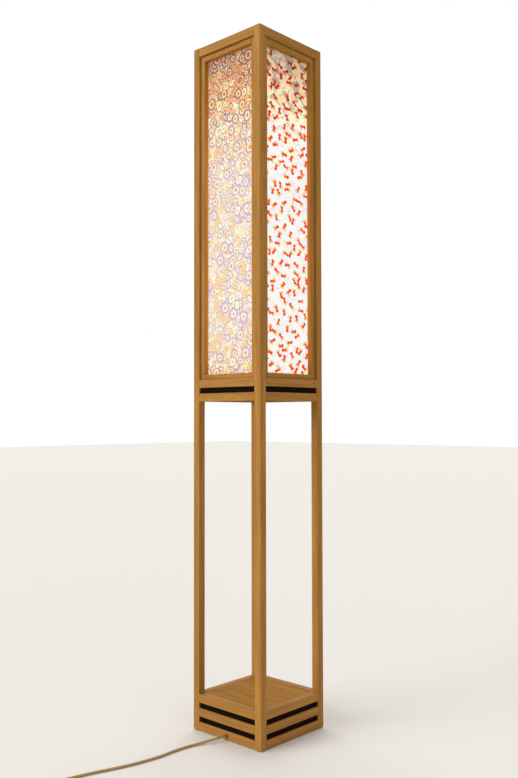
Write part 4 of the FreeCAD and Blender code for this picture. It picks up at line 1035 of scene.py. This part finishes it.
def on_reveals(run, add, place):
    """How strongly the lit paper shines on the inner edges of a panel's stiles: most beside
    the paper, and hardly at the lantern's top."""
    low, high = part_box("front_panel_frame")
    hair, foot_fade, top_fade, strength = 0.0003, 0.06, 0.3, 0.42
    foot, top, depth = low.z + PANEL_STOCK, high.z - PANEL_STOCK, abs(low.y)
    parts = add("SeparateXYZ", {}, {0: place})
    aside = add("Math", {"operation": "ABSOLUTE"}, {0: parts.outputs[run]})
    shine = add("Math", {"operation": "LESS_THAN"}, {0: aside, 1: high.x - PANEL_STOCK + hair})
    other = "Y" if run == "X" else "X"
    inward = add("Math", {"operation": "ABSOLUTE"}, {0: parts.outputs[other]})
    up = parts.outputs["Z"]
    spans = ((up, foot, foot + foot_fade), (up, top, top - top_fade), (inward, depth, abs(high.y)))
    for measure, dark_end, lit_end in spans:
        share = add("MapRange", {}, {"Value": measure, "From Min": dark_end, "From Max": lit_end})
        shine = add("Math", {"operation": "MULTIPLY"}, {0: shine, 1: share})
    return add("Math", {"operation": "MULTIPLY"}, {0: shine, 1: strength})


def in_side_cleats(add, place):
    """1 in the cleats of the two sides that face along X, else 0."""
    parts = add("SeparateXYZ", {}, {0: place})
    across = add("Math", {"operation": "ABSOLUTE"}, {0: parts.outputs["X"]})
    along = add("Math", {"operation": "ABSOLUTE"}, {0: parts.outputs["Y"]})
    return add("Math", {"operation": "GREATER_THAN"}, {0: across, 1: along})


class LAMP_OT_timber(bpy.types.Operator):
    """Gives every wooden piece its own cut of timber"""

    bl_idname = "floor_lamp.timber"
    bl_label = "Timber"

    def execute(self, context):
        corners = ("front_left", "front_right", "back_right", "back_left")
        sticks = [(f"{corner}_post", "Z") for corner in corners]
        levels = ("base_bottom", "base_middle", "base_top", "band_lower", "band_upper", "top")
        for quarter, side in enumerate(SIDES):
            sticks += [(f"{side}_{level}_rail", "XY"[quarter % 2]) for level in levels]
        boards = ("base_board", "lantern_floor")
        sticks += [(board, "X") for board in boards]
        for i, (node, run) in enumerate(sticks):
            spots = [DARK_SPOTS[node]] if node in DARK_SPOTS else []
            # The boards are only oiled, so they shine less than the sticks.
            shine = OILED if node in boards else LACQUERED
            wood = beech(f"beech_{node}", run, grain_seat(i), own_tone(i), spots=spots, shine=shine)
            repaint(node, wood)
        for i, side in enumerate(SIDES):
            node = f"{side}_panel_frame"
            run = "XY"[i % 2]
            seat = grain_seat(len(sticks) + i)
            rails, glow = partial(in_panel_rails, run), partial(on_reveals, run)
            wood = beech(f"beech_{node}", "Z", seat, other_run=run, other_share=rails, lit_share=glow)
            repaint(node, wood)
        for i, node in enumerate(("base_board_cleats", "lantern_floor_cleats")):
            seat = grain_seat(len(sticks) + len(SIDES) + i)
            wood = beech(f"beech_{node}", "X", seat, 0.97, other_run="Y", other_share=in_side_cleats)
            repaint(node, wood)
        # The strips get their dark stain, darkened further as painted shade of their recess.
        repaint("dark_spacer_strips", stained_with_painted_shade())
        return {"FINISHED"}


class LAMP_OT_papers(bpy.types.Operator):
    """Prints the four lantern papers: rings front and back, fishes right and left"""

    bl_idname = "floor_lamp.papers"
    bl_label = "Lantern papers"

    def execute(self, context):
        for quarter, side in enumerate(SIDES):
            if quarter % 2:
                made = fish_paper(f"washi_fishes_{side}", "Y")
            else:
                made = ring_paper(f"washi_rings_{side}", "X")
            repaint(f"{side}_lantern_paper", made)
        return {"FINISHED"}


class LAMP_OT_bulb(bpy.types.Operator):
    """Makes the opal bulb with its screw base"""

    bl_idname = "floor_lamp.bulb"
    bl_label = "Bulb"

    def execute(self, context):
        self.blow_glass()
        self.roll_base()
        return {"FINISHED"}

    def blow_glass(self):
        """A globe, and a straight-sided neck that runs into it without a crease."""
        low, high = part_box("bulb_glass")
        radius, neck = 0.030, 0.013
        middle = high.z - radius
        drop = middle - low.z
        lean = math.degrees(math.atan2(neck, drop) - math.asin(radius / math.hypot(neck, drop)))
        outline = [(0, low.z), (neck, low.z)] + arc_points((0, middle), radius, lean, 90, 24)
        outline[-1] = (0, high.z)
        bm = bmesh.new()
        spin_outline(bm, outline, 64)
        settle(finished("bulb_opal_glass", bm, opal()), "opal_glass", "bulb_glass")

    def roll_base(self):
        """The contact, the glazed ring round it, the threaded shell and its rolled collar."""
        low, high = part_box("bulb_base")
        radius, contact, glaze, mouth = high.x, 0.0045, 0.0085, 0.0128
        rim, groove, shoulder, bead = (radius - inset for inset in (0.0016, 0.0012, 0.0003, 0.0002))
        turns, pitch, steps = 5, 0.0036, 48
        contact_top, glaze_top, foot = (low.z + rise for rise in (0.0012, 0.0022, 0.0035))
        crest, last_turn = foot + pitch / 2, foot + pitch * (turns - 1)
        bead_foot, bead_low, bead_top = (high.z - drop for drop in (0.0042, 0.0034, 0.0012))
        bm = bmesh.new()
        cap = [(0, low.z), (contact * 0.8, low.z), (contact, contact_top), (glaze, glaze_top)]
        cap += [(rim, foot), (groove, crest), (0, crest)]
        spin_outline(bm, cap, steps)
        thread = [(groove, foot), (shoulder, foot + pitch * 0.3), (radius, crest)]
        thread += [(shoulder, foot + pitch * 0.7), (groove, foot + pitch)]
        helix(bm, thread, pitch, turns, steps)
        collar = [(0, last_turn), (groove, last_turn), (groove, bead_foot), (bead, bead_low)]
        collar += [(bead, bead_top), (mouth, high.z), (0, high.z)]
        spin_outline(bm, collar, steps)
        nickel = bpy.data.materials["nickel_plated_brass"]
        settle(finished("bulb_screw_base", bm, nickel, 50), "nickel", "bulb_base")


class LAMP_OT_lamp_holder(bpy.types.Operator):
    """Makes the moulded lamp holder: a flared cap and a ribbed sleeve"""

    bl_idname = "floor_lamp.lamp_holder"
    bl_label = "Lamp holder"

    def execute(self, context):
        ivory = moulded("ivory_urea_plastic", linear("#EDE6D6"), 0.32)
        self.mould_cap(ivory)
        self.mould_sleeve(ivory)
        return {"FINISHED"}

    def mould_cap(self, ivory):
        """A neck on the stem that flares out to the skirt, hollow inside."""
        low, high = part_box("holder_cap")
        foot, top, radius = low.z, high.z, high.x
        bore, neck, flare, bevel, draft = 0.00505, 0.008, 0.0105, 0.0006, 0.0002
        mouth, inside, root, throat = 0.0163, 0.0150, foot + 0.001, foot + 0.0085
        roof, inner_brim, brim = (foot + rise for rise in (0.0112, 0.0190, 0.0195))
        outline = [(bore, foot), (neck - 2 * bevel, foot), (neck - draft, root), (neck, throat)]
        outline += arc_points((neck + flare, throat), flare, 180, 95, 8)[1:]
        outline += [(radius, brim), (radius, top - bevel), (radius - bevel, top)]
        outline += [(mouth, top), (inside, inner_brim), (bore, roof)]
        bm = bmesh.new()
        spin_outline(bm, outline, 64, closed=True)
        settle(finished("holder_flared_cap", bm, ivory), "holder_plastic", "holder_cap")

    def mould_sleeve(self, ivory):
        """A ribbed cup that takes the bulb's base."""
        low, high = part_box("holder_sleeve")
        foot, top = low.z, high.z
        seat, waist, rib, valley = 0.0155, 0.0176, 0.0185, 0.0180
        shoulder, crown, mouth, socket = 0.0178, 0.0163, 0.0150, 0.0135
        hair, bevel, first_rib, unribbed, ribs = 0.0001, 0.0006, 0.002, 0.006, 8
        shoulder_top, crown_top, socket_top = (top - drop for drop in (0.0022, 0.0002, 0.0012))
        floor, step = foot + 0.004, (top - foot - unribbed) / ribs
        outline = [(0, foot + hair), (seat, foot + hair)]
        outline += [(waist, foot + bevel), (waist, foot + bevel + 0.001)]
        for i in range(ribs):
            z = foot + first_rib + i * step
            outline += [(rib, z + 0.1 * step), (rib, z + 0.6 * step)]
            outline += [(valley, z + 0.7 * step), (valley, z + step)]
        outline += [(shoulder, shoulder_top), (crown, crown_top), (mouth, top)]
        outline += [(socket, socket_top), (socket, floor), (0, floor)]
        bm = bmesh.new()
        spin_outline(bm, outline, 64)
        settle(finished("holder_ribbed_sleeve", bm, ivory), "holder_plastic", "holder_sleeve")


class LAMP_OT_stem(bpy.types.Operator):
    """Cuts the threaded stem and its two nuts"""

    bl_idname = "floor_lamp.stem"
    bl_label = "Stem and nuts"

    def execute(self, context):
        brass = metal("turned_brass", linear("#B8924F"), 0.3)
        self.cut_stem(brass)
        self.cut_nuts(brass)
        return {"FINISHED"}

    def cut_stem(self, brass):
        """A tube with a thread all along it."""
        low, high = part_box("lamp_stem")
        root, crest, bore, pitch, steps = 0.00455, 0.005, 0.00375, 0.0015, 20
        turns = int((high.z - low.z) / pitch)
        thread = [(root, low.z), (crest, low.z + pitch * 0.4), (crest, low.z + pitch * 0.6)]
        thread.append((root, low.z + pitch))
        bm = bmesh.new()
        helix(bm, thread, pitch, turns, steps)
        core, bevel = root - 0.0001, 0.0004
        tube = [(core, low.z + bevel), (bore, low.z), (bore, high.z), (core, high.z - bevel)]
        spin_outline(bm, tube, steps, closed=True)
        settle(finished("threaded_brass_stem", bm, brass, 60), "brass", "lamp_stem")

    def cut_nuts(self, brass):
        """Two hexagon nuts with bevelled corners."""
        low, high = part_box("stem_nuts")
        thick, bore, face, corner, bevel = 0.0035, 0.0051, 0.0066, 0.008, 0.0005
        half = [(0, bore, 2), (0, face, 2), (bevel, corner, HEXAGON)]
        whole = half + [(thick - rise, reach, power) for rise, reach, power in reversed(half)]
        bm = bmesh.new()
        for foot in (low.z, high.z - thick):
            rings = [(foot + rise, reach, reach, power) for rise, reach, power in whole]
            stacked(bm, rings, 48, close=True)
        settle(finished("stem_hex_nuts", bm, brass, 20), "brass", "stem_nuts")


class LAMP_OT_inner_lead(bpy.types.Operator):
    """Runs the lead inside the lamp, and colours its clips and its grip"""

    bl_idname = "floor_lamp.inner_lead"
    bl_label = "Inner lead"

    def execute(self, context):
        settings = context.scene.lamp_cord
        sheath = bpy.data.materials["pvc_cord_sheath"]
        lead = spline_tube("lead_in_lamp", INNER_ROUTE, settings.diameter, sheath)
        settle(lead, "gold_cord", "inner_lead")
        brown = moulded("brown_nylon", settings.moulded, 0.5)
        repaint("lead_clips", brown)
        repaint("cord_grip", brown)
        return {"FINISHED"}


class LAMP_OT_screws(bpy.types.Operator):
    """Drives the wood screws that hold the cleats and the cord grip"""

    bl_idname = "floor_lamp.screws"
    bl_label = "Wood screws"

    def execute(self, context):
        cleat_depth, half_spacing, grip_half_spacing = 0.012, 0.05, 0.010
        inward = Vector((0, 1, 0))
        bm = bmesh.new()
        for node in ("base_board_cleats", "lantern_floor_cleats"):
            low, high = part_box(node)
            for quarter in range(4):
                turn = Matrix.Rotation(math.pi / 2 * quarter, 3, "Z")
                for sign in (-1, 1):
                    seat = Vector((sign * half_spacing, cleat_depth - high.y, (low.z + high.z) / 2))
                    self.drive(bm, turn @ seat, turn @ inward)
        low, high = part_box("cord_grip")
        for sign in (-1, 1):
            self.drive(bm, Vector((sign * grip_half_spacing, high.y, (low.z + high.z) / 2)), inward)
        zinc = metal("yellow_zinc_steel", linear("#BFA968"), 0.34)
        settle(finished("pan_head_screws", bm, zinc), "zinc_screws", "wood_screws")
        return {"FINISHED"}

    def drive(self, bm, place, axis):
        """A screw with a pointed shank, and a pan head with a cross recess."""
        tip, shank, head, recess, top, hair = 0.0215, 0.00145, 0.003, 0.0016, 0.0016, 0.0001
        # Radii and heights: the point and the shank, the head's edge and crown, the recess.
        outline = [(0, -tip), (0.0008, -0.0200), (shank, -0.0170), (shank, 0), (head, 0)]
        outline += [(head, 0.0006), (0.0026, 0.0012), (0.0019, top), (recess, top)]
        outline += [(0.0007, 0.0007), (0, 0.0005)]
        verts = spin_outline(bm, outline, 16)
        for v in verts:
            # The rim of the recess is pulled in between its four arms.
            radius = math.hypot(v.co.x, v.co.y)
            if abs(radius - recess) < hair and v.co.z > top - hair:
                angle = math.atan2(v.co.y, v.co.x)
                share = 0.42 + 0.58 * abs(math.cos(2 * angle)) ** 3
                v.co.x *= share
                v.co.y *= share
        put(bm, verts, place, axis)


class LAMP_OT_felt_pads(bpy.types.Operator):
    """Sticks a round felt pad under each post"""

    bl_idname = "floor_lamp.felt_pads"
    bl_label = "Felt pads"

    def execute(self, context):
        low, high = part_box("front_right_post")
        seat = (low.x + high.x) / 2
        radius, thick, foot_edge, top_edge = 0.009, 0.002, 0.0006, 0.0003
        outline = [(0, 0), (radius - foot_edge, 0), (radius, foot_edge), (radius, thick - top_edge)]
        outline += [(radius - top_edge, thick), (0, thick)]
        bm = bmesh.new()
        for sign_x in (-1, 1):
            for sign_y in (-1, 1):
                put(bm, spin_outline(bm, outline, 40), (sign_x * seat, sign_y * seat, 0))
        felt = woven("brown_felt", linear("#3A2A20"), 1.2)
        settle(finished("round_felt_pads", bm, felt), "felt", "felt_pads")
        return {"FINISHED"}


class LAMP_PT_sidebar(bpy.types.Panel):
    """Lists the lamp's settings and its pieces"""

    bl_label = "Floor lamp"
    bl_idname = "LAMP_PT_sidebar"
    bl_space_type = "VIEW_3D"
    bl_region_type = "UI"
    bl_category = "Floor lamp"

    def draw(self, context):
        for group in (context.scene.lamp_timber, context.scene.lamp_paper, context.scene.lamp_cord):
            box = self.layout.box()
            for key in group.bl_rna.properties.keys():
                if key not in ("rna_type", "name"):
                    box.prop(group, key)
        for operator in OPERATORS:
            self.layout.operator(operator.bl_idname)


OPERATORS = (
    LAMP_OT_stage,
    LAMP_OT_floor_cord,
    LAMP_OT_coiled_cord,
    LAMP_OT_foot_switch,
    LAMP_OT_plug,
    LAMP_OT_cord_facts,
    LAMP_OT_timber,
    LAMP_OT_papers,
    LAMP_OT_bulb,
    LAMP_OT_lamp_holder,
    LAMP_OT_stem,
    LAMP_OT_inner_lead,
    LAMP_OT_screws,
    LAMP_OT_felt_pads,
)
CLASSES = (TimberSettings, PaperSettings, CordSettings, *OPERATORS, LAMP_PT_sidebar)


def register():
    for cls in CLASSES:
        bpy.utils.register_class(cls)
    bpy.types.Scene.lamp_timber = PointerProperty(type=TimberSettings)
    bpy.types.Scene.lamp_paper = PointerProperty(type=PaperSettings)
    bpy.types.Scene.lamp_cord = PointerProperty(type=CordSettings)


def unregister():
    del bpy.types.Scene.lamp_timber
    del bpy.types.Scene.lamp_paper
    del bpy.types.Scene.lamp_cord
    for cls in reversed(CLASSES):
        bpy.utils.unregister_class(cls)


def main():
    register()
    for operator in OPERATORS:
        group, name = operator.bl_idname.split(".")
        getattr(getattr(bpy.ops, group), name)()


if __name__ == "__main__":
    main()
